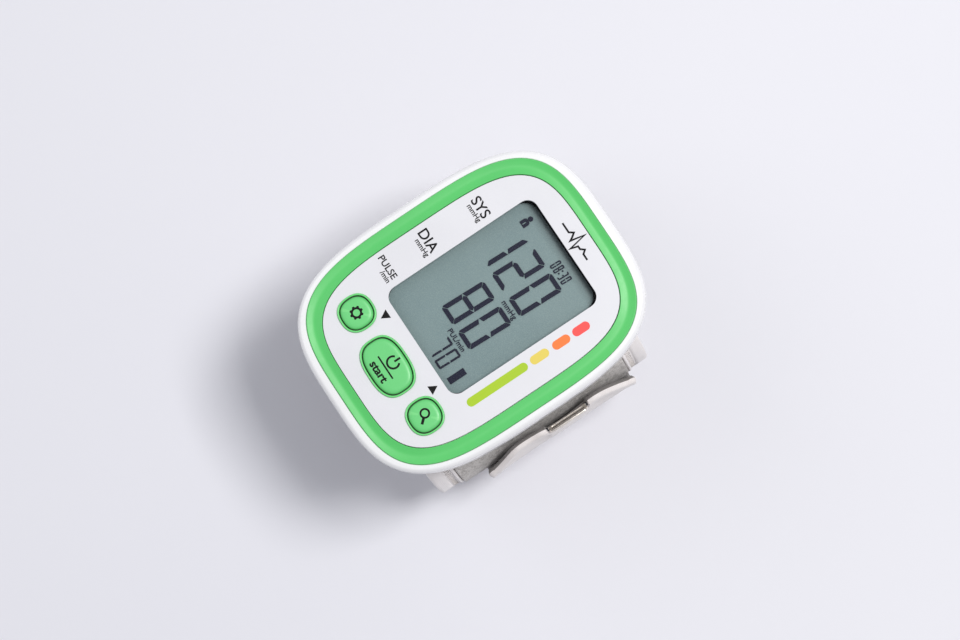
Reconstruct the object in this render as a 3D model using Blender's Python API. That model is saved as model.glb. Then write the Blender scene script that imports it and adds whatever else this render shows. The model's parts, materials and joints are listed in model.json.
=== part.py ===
"""Wrist blood pressure monitor: a display housing on a formed cuff with a closure strap.

Frame: X to the right as the display is read, Y towards the hand, Z out of the display.
The origin is the centre of the cuff's flat underside. Lengths are in metres.
"""
import math

import bmesh
import bpy
from mathutils import Matrix, Vector

# Display housing
BODY_HALF = (0.0332, 0.0436)
BODY_POWER = 3.40
SPLIT_Z = 0.0630
BODY_BOTTOM_Z = 0.0440
RIM_TOP_Z = 0.0710
DECK_TOP_Z = 0.0697
DECK_BOTTOM_Z = 0.0681
UPPER_WALL = 0.0017
LOWER_WALL = 0.0029
FLOOR = 0.0016
GAP = 0.0003

# Face
RING_OUTER = (0.0308, 0.0406, 3.72)
RING_INNER = (0.0265, 0.0367, 3.97)
RING_LIP_Z = 0.0714
FACE_TOP_Z = 0.0712
FACE_BOTTOM_Z = 0.0700
WINDOW_Y = 0.00665
WINDOW_SIZE = (0.0328, 0.0460)
WINDOW_RADIUS = 0.0030

# Buttons: name -> centre, half sizes of the cap, and how square its outline is
BUTTONS = {
    "settings": ((-0.0161, -0.02505), (0.0041, 0.0041), 2.4),
    "start": ((0.0, -0.0260), (0.0075, 0.0050), 2.75),
    "memory": ((0.0161, -0.02505), (0.0041, 0.0041), 2.4),
}
CAP_TOP_Z = 0.0721
COLLAR_TOP_Z = 0.0718
COLLAR_WALL = 0.00055
CAP_GAP = 0.00025
FLANGE = 0.0008

# Circuit board
BOARD_Z = (0.0632, 0.0644)
UNDER_BOARD_Z = BOARD_Z[0] - GAP

# Cuff: outline of the cover in the XZ plane, and the depth of each layer below it
LOOP_HALF = (0.0336, 0.0256)
LOOP_POWER = 2.4
LOOP_CENTRE_Z = 0.0250
CUFF_Y = (-0.0348, 0.0338)
COVER = (0.0, 0.0010)
PLATE = (0.0013, 0.0021)
BLADDER = (0.0024, 0.0046)
LINING = (0.0049, 0.0059)
PILE = (-0.0011, -0.0003)
HOOK = (-0.0022, -0.0014)
ARM_TOP_Z = 0.0405
ARM_END_Z = 0.0205
COVER_END_Z = 0.0190
PIPING_Y = (-0.0284, 0.0277)
PIPING_RADIUS = 0.0008

# Closure strap
STRAP_Y = (-0.0209, 0.0274)
STRAP_THICKNESS = 0.0018
STRAP_HEM = 0.0028
STRAP_PIVOT_Z = 0.0086
STRAP_TOP_Z = 0.0420
RING_Y = 0.0058
RING_PIVOT = (0.0357, 0.0401)
RING_TIP = (0.0369, 0.0427)
RING_WIRE = 0.0004
RING_HALF = 0.0057
NOTCH_HALF = 0.0065

# Power, pump and fastening
CELL_RADIUS = 0.00525
CELL_LENGTH = 0.0435
CELLS = {"battery_1": (-0.0226, 0.0019, 0.0549, 1), "battery_2": (-0.0117, -0.0019, 0.05745, -1)}
CONTACT_Y = 0.02465
PUMP_X = 0.0190
PUMP_Z = 0.0568
PORT_XY = (0.0050, -0.0205)
RIVET_Y = 0.0295
SCREWS = [(sx * 0.0130, sy * 0.0358) for sx in (-1, 1) for sy in (-1, 1)]

RING_POINTS = 48
PARTS = "wrist_blood_pressure_monitor"
CUTTERS = "cutters"


def clear_scene():
    for obj in list(bpy.data.objects):
        bpy.data.objects.remove(obj, do_unlink=True)


def collection(name):
    found = bpy.data.collections.get(name)
    if found is None:
        found = bpy.data.collections.new(name)
        bpy.context.scene.collection.children.link(found)
    return found


def paint(obj, colour, roughness=0.4, metallic=0.0, alpha=1.0):
    """Give an object a Principled material of its own."""
    material = bpy.data.materials.new(obj.name + "_material")
    material.use_nodes = True
    shader = material.node_tree.nodes["Principled BSDF"]
    shader.inputs["Base Color"].default_value = (*colour, 1.0)
    shader.inputs["Roughness"].default_value = roughness
    shader.inputs["Metallic"].default_value = metallic
    shader.inputs["Alpha"].default_value = alpha
    obj.data.materials.clear()
    obj.data.materials.append(material)
    return obj


def smooth(obj, angle=35):
    obj.data.shade_smooth()
    obj.data.set_sharp_from_angle(angle=math.radians(angle))
    return obj


def add_mesh(name, bm, group=PARTS):
    bmesh.ops.remove_doubles(bm, verts=bm.verts, dist=1e-6)
    bmesh.ops.recalc_face_normals(bm, faces=bm.faces)
    mesh = bpy.data.meshes.new(name)
    bm.to_mesh(mesh)
    bm.free()
    obj = bpy.data.objects.new(name, mesh)
    collection(group).objects.link(obj)
    return smooth(obj)


def as_cutter(obj):
    obj.hide_render = True
    obj.display_type = "WIRE"
    return obj


def boolean(obj, other, operation="DIFFERENCE", solver="EXACT"):
    modifier = obj.modifiers.new(other.name, "BOOLEAN")
    modifier.operation = operation
    modifier.object = other
    modifier.solver = solver
    return obj


def superellipse(half_x, half_y, power, count=RING_POINTS):
    """Points of a superellipse, evenly turned about its centre."""
    points = []
    for step in range(count):
        angle = 2 * math.pi * (step + 0.5) / count
        cx = abs(math.cos(angle)) / half_x
        cy = abs(math.sin(angle)) / half_y
        radius = (cx ** power + cy ** power) ** (-1 / power)
        points.append((radius * math.cos(angle), radius * math.sin(angle)))
    return points


def rounded_rectangle(width, height, radius, steps=5):
    points = []
    for quarter, (sx, sy) in enumerate([(1, 1), (-1, 1), (-1, -1), (1, -1)]):
        for step in range(steps + 1):
            angle = math.pi / 2 * (quarter + step / steps)
            x = sx * (width / 2 - radius) + radius * math.cos(angle)
            y = sy * (height / 2 - radius) + radius * math.sin(angle)
            points.append((x, y))
    return points


def circle(radius, count=16):
    return superellipse(radius, radius, 2.0, count)


def shifted(points, x, y):
    return [(px + x, py + y) for px, py in points]


def loft(name, rings, closed=False, group=PARTS):
    """Skin a row of rings, each a list of points and a height; the ends are capped or joined."""
    bm = bmesh.new()
    rows = [[bm.verts.new((x, y, z)) for x, y in points] for points, z in rings]
    count = len(rows[0])
    pairs = list(zip(rows, rows[1:] + rows[:1])) if closed else list(zip(rows, rows[1:]))
    for lower, upper in pairs:
        for i in range(count):
            j = (i + 1) % count
            bm.faces.new((lower[i], lower[j], upper[j], upper[i]))
    if not closed:
        bm.faces.new(rows[0])
        bm.faces.new(rows[-1])
    return add_mesh(name, bm, group)


def body_rings(stations, half=BODY_HALF, power=BODY_POWER):
    """Rings of the housing outline from pairs of inset and height."""
    return [(superellipse(half[0] - inset, half[1] - inset, power), z) for inset, z in stations]


def curve_mesh(name, curve, group=PARTS, matrix=Matrix()):
    """Turn a curve into a welded mesh object."""
    holder = bpy.data.objects.new(name + "_curve", curve)
    collection(group).objects.link(holder)
    graph = bpy.context.evaluated_depsgraph_get()
    mesh = bpy.data.meshes.new_from_object(holder.evaluated_get(graph))
    bpy.data.objects.remove(holder, do_unlink=True)
    bm = bmesh.new()
    bm.from_mesh(mesh)
    bpy.data.meshes.remove(mesh)
    bmesh.ops.transform(bm, matrix=matrix, verts=bm.verts)
    return add_mesh(name, bm, group)


def plate(name, outlines, low, high, group=PARTS, matrix=Matrix()):
    """A flat piece between two heights; the first outline is its edge, the others are holes."""
    curve = bpy.data.curves.new(name, "CURVE")
    curve.dimensions = "2D"
    curve.fill_mode = "BOTH"
    curve.extrude = (high - low) / 2
    for outline in outlines:
        spline = curve.splines.new("POLY")
        spline.points.add(len(outline) - 1)
        for point, (x, y) in zip(spline.points, outline):
            point.co = (x, y, 0, 1)
        spline.use_cyclic_u = True
    lift = Matrix.Translation((0, 0, (low + high) / 2))
    return curve_mesh(name, curve, group, matrix @ lift)


def section(name, outline, y0, y1, group=PARTS):
    """A piece with an outline in XZ, running along Y from y0 to y1."""
    stand = Matrix.Rotation(math.pi / 2, 4, "X")
    return plate(name, [outline], -y1, -y0, group, stand)


def wire(name, points, radius, cyclic=False, resolution=2, group=PARTS):
    curve = bpy.data.curves.new(name, "CURVE")
    curve.dimensions = "3D"
    curve.bevel_depth = radius
    curve.bevel_resolution = resolution
    curve.use_fill_caps = not cyclic
    spline = curve.splines.new("POLY")
    spline.points.add(len(points) - 1)
    for point, place in zip(spline.points, points):
        point.co = (*place, 1)
    spline.use_cyclic_u = cyclic
    return curve_mesh(name, curve, group)


def cylinder(name, radius, start, end, segments=20, group=PARTS):
    """A round bar between two points."""
    start, end = Vector(start), Vector(end)
    bm = bmesh.new()
    bmesh.ops.create_cone(bm, cap_ends=True, segments=segments, radius1=radius, radius2=radius,
                          depth=(end - start).length)
    turn = Vector((0, 0, 1)).rotation_difference(end - start).to_matrix().to_4x4()
    bmesh.ops.transform(bm, matrix=Matrix.Translation((start + end) / 2) @ turn, verts=bm.verts)
    return add_mesh(name, bm, group)


def block(name, low, high, group=PARTS, bevel=0.0):
    """A box between two corners, with softened edges if bevel is set."""
    low, high = Vector(low), Vector(high)
    bm = bmesh.new()
    bmesh.ops.create_cube(bm, size=1)
    bmesh.ops.scale(bm, vec=high - low, verts=bm.verts)
    bmesh.ops.translate(bm, vec=(low + high) / 2, verts=bm.verts)
    if bevel:
        bmesh.ops.bevel(bm, geom=bm.edges[:], offset=bevel, segments=1, affect="EDGES")
    return add_mesh(name, bm, group)


def hinge_at(name, place, objects):
    """Hang objects on an empty that stands on their joint's axis."""
    pivot = bpy.data.objects.new(name, None)
    pivot.location = place
    collection(PARTS).objects.link(pivot)
    for obj in objects:
        obj.parent = pivot
        obj.matrix_parent_inverse = Matrix.Translation(place).inverted()
    return pivot


# The cuff's outline -----------------------------------------------------------------------

def dense_loop(count=1440):
    """The cover's outline, clockwise from the top centre, flat where it stands on a table."""
    points = []
    for step in range(count):
        angle = math.pi / 2 - 2 * math.pi * step / count
        cx = abs(math.cos(angle)) / LOOP_HALF[0]
        cz = abs(math.sin(angle)) / LOOP_HALF[1]
        radius = (cx ** LOOP_POWER + cz ** LOOP_POWER) ** (-1 / LOOP_POWER)
        z = LOOP_CENTRE_Z + radius * math.sin(angle)
        points.append(Vector((radius * math.cos(angle), max(z, 0.0))))
    return points


LOOP = dense_loop()


def loop_point(turn, depth):
    """A point of the outline at a fraction of a turn, moved inwards by depth."""
    index = turn * len(LOOP)
    low = math.floor(index)
    before, here, after = (LOOP[(low + k) % len(LOOP)] for k in (-4, 0, 5))
    onward = LOOP[(low + 1) % len(LOOP)]
    place = here.lerp(onward, index - low)
    along = (after - before).normalized()
    inward = Vector((along.y, -along.x))
    return place + inward * depth


def turn_at_height(z):
    """The fraction of a turn at which the right side comes down to a height."""
    for step in range(len(LOOP) // 2):
        if LOOP[step].x > 0.01 and LOOP[step].y <= z:
            return step / len(LOOP)
    return 0.5


ARM_START = turn_at_height(ARM_TOP_Z)
ARM_END = turn_at_height(ARM_END_Z)
COVER_START = turn_at_height(COVER_END_Z)
COVER_END = 1 + ARM_START - 0.003


def band_outline(start, end, depths, count):
    turns = [start + (end - start) * i / count for i in range(count + 1)]
    outer = [tuple(loop_point(t, depths[0])) for t in turns]
    inner = [tuple(loop_point(t, depths[1])) for t in reversed(turns)]
    return outer + inner


def band(name, start, end, depths, y_range, count=10, group=PARTS):
    return section(name, band_outline(start, end, depths, count), *y_range, group)


def loop_block(name, depth, y_half=0.06):
    """The filled outline, used to shape what lies against the cuff."""
    outline = [tuple(loop_point(i / 64, depth)) for i in range(64)]
    return as_cutter(section(name, outline, -y_half, y_half, CUTTERS))


# Housing ----------------------------------------------------------------------------------

def lower_outer(name, group=PARTS):
    stations = [(LOWER_WALL, 0.0644), (UPPER_WALL + GAP, 0.0644), (UPPER_WALL + GAP, SPLIT_Z - GAP),
                (0.0002, SPLIT_Z - GAP), (0.0004, 0.0580), (0.0011, 0.0530), (0.0026, 0.0485),
                (0.0042, 0.0455), (0.0060, BODY_BOTTOM_Z)]
    return loft(name, body_rings(stations), group=group)


def cavity(name):
    """The space inside the lower housing, down to where its walls close in."""
    stations = [(LOWER_WALL, 0.0660), (LOWER_WALL, 0.0560), (0.0040, 0.0500), (0.0066, 0.0456)]
    return as_cutter(loft(name, body_rings(stations), group=CUTTERS))


def door_cutter(name, clearance):
    low = (-0.040, -0.0250 - clearance, 0.0488 - clearance)
    high = (-0.0255, 0.0250 + clearance, 0.0606 + clearance)
    return as_cutter(block(name, low, high, CUTTERS))


def make_lower_housing():
    housing = lower_outer("lower_housing")
    boolean(housing, boolean(cavity("cavity"), loop_block("cavity_floor", -GAP - FLOOR)))
    boolean(housing, loop_block("cuff_seat", -GAP))
    boolean(housing, door_cutter("door_opening", GAP))
    for index, (x, y) in enumerate(SCREWS):
        floor_z = loop_point(turn_of_x(x), 0).y
        boss = cylinder(f"lower_boss_{index}", 0.0034, (x, y, floor_z + 0.0009), (x, y, 0.0557),
                        group=CUTTERS)
        hole = cylinder(f"lower_hole_{index}", 0.0014, (x, y, 0.045), (x, y, 0.058), group=CUTTERS)
        sink = cylinder(f"lower_sink_{index}", 0.0026, (x, y, 0.045), (x, y, 0.0530), group=CUTTERS)
        boolean(housing, as_cutter(boss), "UNION")
        boolean(housing, as_cutter(hole))
        boolean(housing, as_cutter(sink))
    for cutter in floor_cutters():
        boolean(housing, cutter)
    return paint(housing, (0.90, 0.90, 0.90), 0.32)


def turn_of_x(x):
    """The fraction of a turn, near the top, at which the outline is at x."""
    span = range(-len(LOOP) // 5, len(LOOP) // 5)
    best = min(span, key=lambda i: abs(LOOP[i % len(LOOP)].x - x))
    return best / len(LOOP)


def floor_cutters():
    """Holes through the floor, the cover and the spring plate, made once and shared."""
    if "port_hole" not in bpy.data.objects:
        x, y = PORT_XY
        as_cutter(cylinder("port_hole", 0.0025, (x, y, 0.046), (x, y, 0.0545), group=CUTTERS))
        for index, side in enumerate((-1, 1)):
            y = side * RIVET_Y
            as_cutter(cylinder(f"rivet_hole_{index}", 0.0018, (0, y, 0.046), (0, y, 0.0545),
                               group=CUTTERS))
    return [bpy.data.objects[name] for name in ("port_hole", "rivet_hole_0", "rivet_hole_1")]


def make_upper_housing():
    rim = (RING_OUTER[0] + 0.00015, RING_OUTER[1] + 0.00015, RING_OUTER[2])
    power = BODY_POWER
    groove = superellipse(*rim)
    rings = [(groove, DECK_TOP_Z), (groove, RIM_TOP_Z)]
    shoulder = [(0.0010, 0.0708, 3.50), (0.0004, 0.0702, 3.45), (0.0001, 0.0692, power),
                (0.0, 0.0678, power), (0.0001, SPLIT_Z, power)]
    inside = [(UPPER_WALL, SPLIT_Z, power), (UPPER_WALL, 0.0665, power),
              (UPPER_WALL + 0.0008, DECK_BOTTOM_Z, power)]
    for inset, z, exponent in shoulder + inside:
        rings.append((superellipse(BODY_HALF[0] - inset, BODY_HALF[1] - inset, exponent), z))
    housing = loft("upper_housing", rings)
    for index, (x, y) in enumerate(SCREWS):
        boss = cylinder(f"upper_boss_{index}", 0.0027, (x, y, 0.0560), (x, y, 0.0690), group=CUTTERS)
        pilot = cylinder(f"pilot_{index}", 0.0012, (x, y, 0.0550), (x, y, 0.0665), group=CUTTERS)
        boolean(housing, as_cutter(boss), "UNION")
        boolean(housing, as_cutter(pilot))
    window = shifted(rounded_rectangle(0.0350, 0.0482, 0.0030), 0, WINDOW_Y)
    boolean(housing, as_cutter(plate("deck_window", [window], 0.066, 0.071, CUTTERS)))
    pocket = shifted(rounded_rectangle(0.0436, 0.0142, 0.0048), 0, -0.0259)
    boolean(housing, as_cutter(plate("deck_pocket", [pocket], 0.066, 0.071, CUTTERS)))
    return paint(housing, (0.93, 0.93, 0.93), 0.22)


def make_battery_door():
    door = lower_outer("battery_door")
    boolean(door, cavity("door_cavity"))
    boolean(door, door_cutter("door_outline", 0.0), "INTERSECT")
    return paint(door, (0.90, 0.90, 0.90), 0.32)


def make_screws():
    for index, (x, y) in enumerate(SCREWS):
        screw = cylinder(f"housing_screw_{index + 1}", 0.0009, (x, y, 0.0520), (x, y, 0.0630), 12)
        head = cylinder(f"screw_head_{index}", 0.0021, (x, y, 0.0510), (x, y, 0.0527), 16, CUTTERS)
        slot = block(f"screw_slot_{index}", (x - 0.0004, y - 0.003, 0.0500),
                     (x + 0.0004, y + 0.003, 0.0515), CUTTERS)
        boolean(screw, as_cutter(head), "UNION")
        boolean(screw, as_cutter(slot))
        paint(screw, (0.62, 0.62, 0.64), 0.3, 1.0)


# Face -------------------------------------------------------------------------------------

def make_trim_ring():
    """A shallow channel, its outline changing from the outer to the inner shape."""
    profile = [(0.0, DECK_TOP_Z + GAP), (0.0, 0.0711), (0.05, RING_LIP_Z), (0.25, 0.0712),
               (0.50, RING_LIP_Z - 0.0004), (0.75, 0.0712), (0.95, RING_LIP_Z), (1.0, 0.0711),
               (1.0, DECK_TOP_Z + GAP)]
    rings = []
    for across, z in profile:
        outline = [o + (i - o) * across for o, i in zip(RING_OUTER, RING_INNER)]
        rings.append((superellipse(*outline), z))
    return paint(loft("trim_ring", rings, closed=True), (0.12, 0.62, 0.18), 0.22)


def button_outline(name, grow, count=24):
    (x, y), (half_x, half_y), power = BUTTONS[name]
    return shifted(superellipse(half_x + grow, half_y + grow, power, count), x, y)


def make_face_panel():
    outlines = [superellipse(RING_INNER[0] - 0.00015, RING_INNER[1] - 0.00015, RING_INNER[2]),
                shifted(rounded_rectangle(*WINDOW_SIZE, WINDOW_RADIUS), 0, WINDOW_Y)]
    outlines += [button_outline(name, CAP_GAP + COLLAR_WALL + 0.0002) for name in BUTTONS]
    panel = plate("face_panel", outlines, FACE_BOTTOM_Z, FACE_TOP_Z)
    return paint(panel, (0.82, 0.84, 0.87), 0.35)


def make_keypad_frame():
    edge = shifted(rounded_rectangle(0.0430, 0.0136, 0.0045), 0, -0.0259)
    holes = [button_outline(name, CAP_GAP + COLLAR_WALL / 2) for name in BUTTONS]
    frame = plate("keypad_frame", [edge] + holes, DECK_BOTTOM_Z, DECK_TOP_Z)
    for name in BUTTONS:
        outlines = [button_outline(name, CAP_GAP + COLLAR_WALL), button_outline(name, CAP_GAP)]
        collar = plate(f"collar_{name}", outlines, DECK_BOTTOM_Z + 0.0002, COLLAR_TOP_Z, CUTTERS)
        boolean(frame, as_cutter(collar), "UNION", "MANIFOLD")
    return paint(frame, (0.28, 0.78, 0.34), 0.35)


def make_buttons():
    """Each cap sits in its collar, its flange is held under the frame, its switch is below."""
    for name, ((x, y), _, _) in BUTTONS.items():
        stations = [(FLANGE, 0.0669), (FLANGE, 0.0677), (0.0, 0.0677), (0.0, 0.0716),
                    (-0.0003, 0.0720), (-0.0009, CAP_TOP_Z)]
        rings = [(button_outline(name, grow), z) for grow, z in stations]
        cap = paint(loft(f"{name}_button", rings), (0.22, 0.72, 0.30), 0.35)
        outlines = [shifted(rounded_rectangle(0.0050, 0.0050, 0.0005, 1), x, y),
                    shifted(circle(0.0014, 12), x, y)]
        switch = plate(f"{name}_switch", outlines, BOARD_Z[1] + GAP, 0.0659)
        paint(switch, (0.70, 0.70, 0.72), 0.35, 0.9)
        plunger = cylinder(f"{name}_switch_plunger", 0.0011, (x, y, 0.0653), (x, y, 0.0666), 12)
        paint(plunger, (0.05, 0.05, 0.05), 0.5)
        hinge_at(f"{name}_travel", (x, y, 0.0669), [cap, plunger])


def make_display():
    lens = shifted(rounded_rectangle(0.0344, 0.0476, 0.0030), 0, WINDOW_Y)
    paint(plate("display_lens", [lens], 0.0686, DECK_TOP_Z), (0.9, 0.95, 0.95), 0.05, alpha=0.3)
    glass = shifted(rounded_rectangle(0.0342, 0.0474, 0.0004, 1), 0, WINDOW_Y)
    paint(plate("lcd_glass", [glass], 0.0659, 0.0677), (0.20, 0.28, 0.26), 0.25)
    frame = [shifted(rounded_rectangle(0.0380, 0.0512, 0.0010, 1), 0, WINDOW_Y),
             shifted(rounded_rectangle(0.0348, 0.0480, 0.0005, 1), 0, WINDOW_Y)]
    paint(plate("lcd_frame", frame, BOARD_Z[1] + GAP, 0.0678), (0.85, 0.85, 0.85), 0.5)
    zebra = block("zebra_connector", (-0.0150, -0.0164, 0.0647), (0.0150, -0.0144, 0.0656))
    paint(zebra, (0.10, 0.10, 0.11), 0.7)


# Electronics and air ----------------------------------------------------------------------

def make_electronics():
    board = shifted(rounded_rectangle(0.0540, 0.0635, 0.0100), 0, -0.00075)
    paint(plate("main_pcb", [board], *BOARD_Z), (0.02, 0.22, 0.08), 0.4)
    chip = block("controller_chip", (-0.0005, 0.0075, 0.0619), (0.0085, 0.0165, UNDER_BOARD_Z))
    paint(chip, (0.03, 0.03, 0.03), 0.4)
    buzzer = cylinder("buzzer", 0.0045, (0.0045, 0.0250, 0.0605), (0.0045, 0.0250, UNDER_BOARD_Z))
    paint(buzzer, (0.05, 0.05, 0.05), 0.5)
    sensor = block("pressure_sensor", (0.0, -0.0320, 0.0594), (0.0080, -0.0260, UNDER_BOARD_Z),
                   bevel=0.0003)
    paint(sensor, (0.75, 0.75, 0.72), 0.5)


def make_air_system():
    x, z = PUMP_X, PUMP_Z
    motor = cylinder("pump_motor", 0.0060, (x, 0.0020, z), (x, 0.0200, z), 24)
    paint(motor, (0.70, 0.70, 0.72), 0.3, 1.0)
    head = block("pump_head", (x - 0.0059, -0.0120, z - 0.0044), (x + 0.0059, 0.0017, z + 0.0061),
                 bevel=0.0008)
    boolean(head, as_cutter(cylinder("pump_cavity", 0.0036, (x, -0.0090, z), (x, 0.0030, z), 20,
                                     CUTTERS)))
    paint(head, (0.12, 0.12, 0.13), 0.5)
    shaft = cylinder("pump_shaft", 0.0008, (x, -0.0086, z), (x, 0.0016, z), 12)
    eccentric = cylinder("eccentric", 0.0022, (x + 0.0008, -0.0060, z), (x + 0.0008, -0.0030, z), 16,
                         CUTTERS)
    paint(boolean(shaft, as_cutter(eccentric), "UNION"), (0.75, 0.75, 0.78), 0.25, 1.0)
    hinge_at("pump_axis", (x, 0, z), [shaft])

    manifold = block("air_manifold", (-0.0020, -0.0235, 0.0545), (0.0120, -0.0175, 0.0605),
                     bevel=0.0006)
    paint(manifold, (0.85, 0.85, 0.82), 0.5)
    valve = cylinder("release_valve", 0.0045, (0.0045, -0.0135, 0.0578), (0.0045, 0.0, 0.0578), 24)
    bore = cylinder("valve_bore", 0.0015, (0.0045, -0.0150, 0.0578), (0.0045, -0.0060, 0.0578), 12,
                    CUTTERS)
    paint(boolean(valve, as_cutter(bore)), (0.68, 0.68, 0.70), 0.3, 1.0)
    pin = cylinder("valve_plunger", 0.0011, (0.0045, -0.0165, 0.0578), (0.0045, -0.0070, 0.0578), 12)
    hinge_at("valve_axis", (0.0045, -0.0165, 0.0578), [pin])
    paint(pin, (0.15, 0.15, 0.15), 0.5)

    pump_route = arc_between((x, -0.0123, 0.0570), (x, -0.0205, 0.0570), (0.0123, -0.0205, 0.0570))
    paint(wire("pump_tube", pump_route, 0.0015), (0.80, 0.80, 0.78), 0.4)
    sensor_route = arc_between((0.0040, -0.0238, 0.0565), (0.0040, -0.0290, 0.0565),
                               (0.0040, -0.0290, 0.0591))
    paint(wire("sensor_tube", sensor_route, 0.0011), (0.80, 0.80, 0.78), 0.4)

    px, py = PORT_XY
    port = cylinder("cuff_port", 0.0020, (px, py, 0.0484), (px, py, 0.0542), 16)
    paint(port, (0.80, 0.80, 0.78), 0.4)
    for index, side in enumerate((-1, 1)):
        y = side * RIVET_Y
        rivet = cylinder(f"cuff_rivet_{index + 1}", 0.0015, (0, y, 0.0472), (0, y, 0.0536), 12)
        for part, low, high in (("head", 0.0468, 0.0480), ("cap", 0.0530, 0.0538)):
            flange = cylinder(f"rivet_{part}_{index}", 0.0028, (0, y, low), (0, y, high), 14,
                              CUTTERS)
            boolean(rivet, as_cutter(flange), "UNION")
        paint(rivet, (0.85, 0.85, 0.85), 0.5)


def arc_between(start, corner, end, count=8):
    """A smooth bend from start to end that heads for the corner."""
    start, corner, end = Vector(start), Vector(corner), Vector(end)
    points = []
    for step in range(count + 1):
        t = step / count
        points.append(tuple(start.lerp(corner, t).lerp(corner.lerp(end, t), t)))
    return points


def make_batteries():
    for index, (name, (x, y, z, way)) in enumerate(CELLS.items()):
        half = CELL_LENGTH / 2
        end = y + way * half
        cell = cylinder(name, CELL_RADIUS, (x, y - half, z), (x, y + half, z), 24)
        nub = cylinder(f"nub_{index}", 0.0019, (x, end - way * 0.001, z), (x, end + way * 0.0008, z),
                       12, CUTTERS)
        boolean(cell, as_cutter(nub), "UNION")
        paint(cell, (0.05, 0.25, 0.45), 0.3)
        spring = contact_spring(index, x, y - way * half, z, -way)
        paint(spring, (0.75, 0.75, 0.75), 0.3, 1.0)
    plates = {"bridge_contact": (-0.0265, -0.0075, 1, 0.0530, 0.0595),
              "positive_contact": (-0.0155, -0.0080, -1, 0.0545, 0.0600),
              "negative_contact": (-0.0262, -0.0190, -1, 0.0515, 0.0580)}
    for name, (x0, x1, side, z0, z1) in plates.items():
        y0, y1 = sorted((side * (CONTACT_Y - 0.0002), side * (CONTACT_Y + 0.0002)))
        paint(block(name, (x0, y0, z0), (x1, y1, z1)), (0.75, 0.75, 0.75), 0.3, 1.0)


def contact_spring(index, x, y_cell, z, way):
    """A cone spring between a cell's flat end and its contact."""
    turns, count = 2.5, 30
    start = y_cell + way * 0.0007
    end = way * (CONTACT_Y - 0.0009)
    points = []
    for step in range(count + 1):
        t = step / count
        angle = 2 * math.pi * turns * t
        radius = 0.0020 + 0.0014 * t
        points.append((x + radius * math.cos(angle), start + (end - start) * t,
                       z + radius * math.sin(angle)))
    return wire(f"battery_spring_{index + 1}", points, 0.0003, resolution=1)


def make_battery_cradle():
    """A U in plan around the open side of the battery bay, shaped to the floor below."""
    x0, x1, x2 = -0.0258, -0.0059, -0.0050
    y0, y1 = 0.0252, 0.0261
    outline = [(x0, y0), (x1, y0), (x1, -y0), (x0, -y0), (x0, -y1), (x2, -y1), (x2, y1), (x0, y1)]
    cradle = plate("battery_cradle", [outline], 0.0500, 0.0628)
    boolean(cradle, loop_block("cradle_floor", -0.0024))
    return paint(cradle, (0.88, 0.88, 0.88), 0.45)


# Cuff -------------------------------------------------------------------------------------

def make_cuff():
    """The layers from the right end round under the wrist and up to the housing."""
    y0, y1 = CUFF_Y
    fabric, clip = (0.78, 0.77, 0.76), (0.30, 0.30, 0.32)
    cover = band("cuff_cover", COVER_START, COVER_END, COVER, CUFF_Y, 36)
    plate_y = (y0 + 0.0030, y1 - 0.0030)
    formed = band("spring_plate", COVER_START + 0.01, COVER_END, PLATE, plate_y, 30)
    bladder = band("air_bladder", 0.58, COVER_END - 0.012, BLADDER, (y0 + 0.0085, y1 - 0.0085), 24)
    lining = band("cuff_lining", COVER_START, COVER_END, LINING, CUFF_Y, 36)
    for cutter in floor_cutters():
        boolean(cover, cutter, solver="MANIFOLD")
        boolean(formed, cutter, solver="MANIFOLD")
    paint(cover, fabric, 0.8)
    paint(formed, clip, 0.5)
    paint(bladder, (0.35, 0.36, 0.38), 0.6)
    paint(lining, (0.55, 0.55, 0.56), 0.9)


def make_arm():
    """The short right end of the cuff, which flexes outwards below the housing."""
    y0, y1 = CUFF_Y
    pile_y = (PIPING_Y[0] + PIPING_RADIUS + GAP, PIPING_Y[1] - PIPING_RADIUS - GAP)
    count = 10
    layers = {"arm_cover": (COVER, CUFF_Y, (0.80, 0.79, 0.78), 0.8),
              "arm_spring_plate": (PLATE, (y0 + 0.0030, y1 - 0.0030), (0.30, 0.30, 0.32), 0.5),
              "arm_lining": (LINING, CUFF_Y, (0.55, 0.55, 0.56), 0.9),
              "arm_pile": (PILE, pile_y, (0.60, 0.58, 0.55), 0.95)}
    for name, (depths, span, colour, roughness) in layers.items():
        paint(band(name, ARM_START, ARM_END, depths, span, count), colour, roughness)
    for side, y in zip(("elbow", "hand"), PIPING_Y):
        turns = [ARM_START + (ARM_END - ARM_START) * i / count for i in range(count + 1)]
        line = [loop_point(t, -PIPING_RADIUS - GAP) for t in turns]
        piping = wire(f"piping_{side}", [(p.x, y, p.y) for p in line], PIPING_RADIUS)
        paint(piping, (0.85, 0.84, 0.83), 0.6)
    pivot = loop_point(ARM_START, PILE[0])
    names = list(layers) + ["piping_elbow", "piping_hand"]
    hinge_at("arm_pivot", (pivot.x, 0, pivot.y), [bpy.data.objects[n] for n in names])


# Closure strap ----------------------------------------------------------------------------

def strap_outline():
    """The strap's section: it hugs the pile, then stands off it and thickens to its hem."""
    start, leave = turn_at_height(STRAP_PIVOT_Z), turn_at_height(0.0280)
    inner, outer = [], []
    hugging = 12
    for step in range(hugging + 1):
        t = step / hugging
        turn = start + (leave - start) * t
        ease = min(1.0, t / 0.30)
        ease = ease * ease * (3 - 2 * ease)
        depth = -GAP - (0.0025 - GAP) * ease
        inner.append(tuple(loop_point(turn, depth)))
        outer.append(tuple(loop_point(turn, depth - STRAP_THICKNESS)))
    for x, z, thick in ((0.0361, 0.0310, STRAP_THICKNESS), (0.0357, 0.0345, 0.0019),
                        (0.0350, 0.0375, 0.0022), (0.0345, 0.0400, 0.0026),
                        (0.0342, STRAP_TOP_Z, STRAP_HEM)):
        inner.append((x, z))
        outer.append((x + thick, z))
    return inner + outer[::-1]


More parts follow.
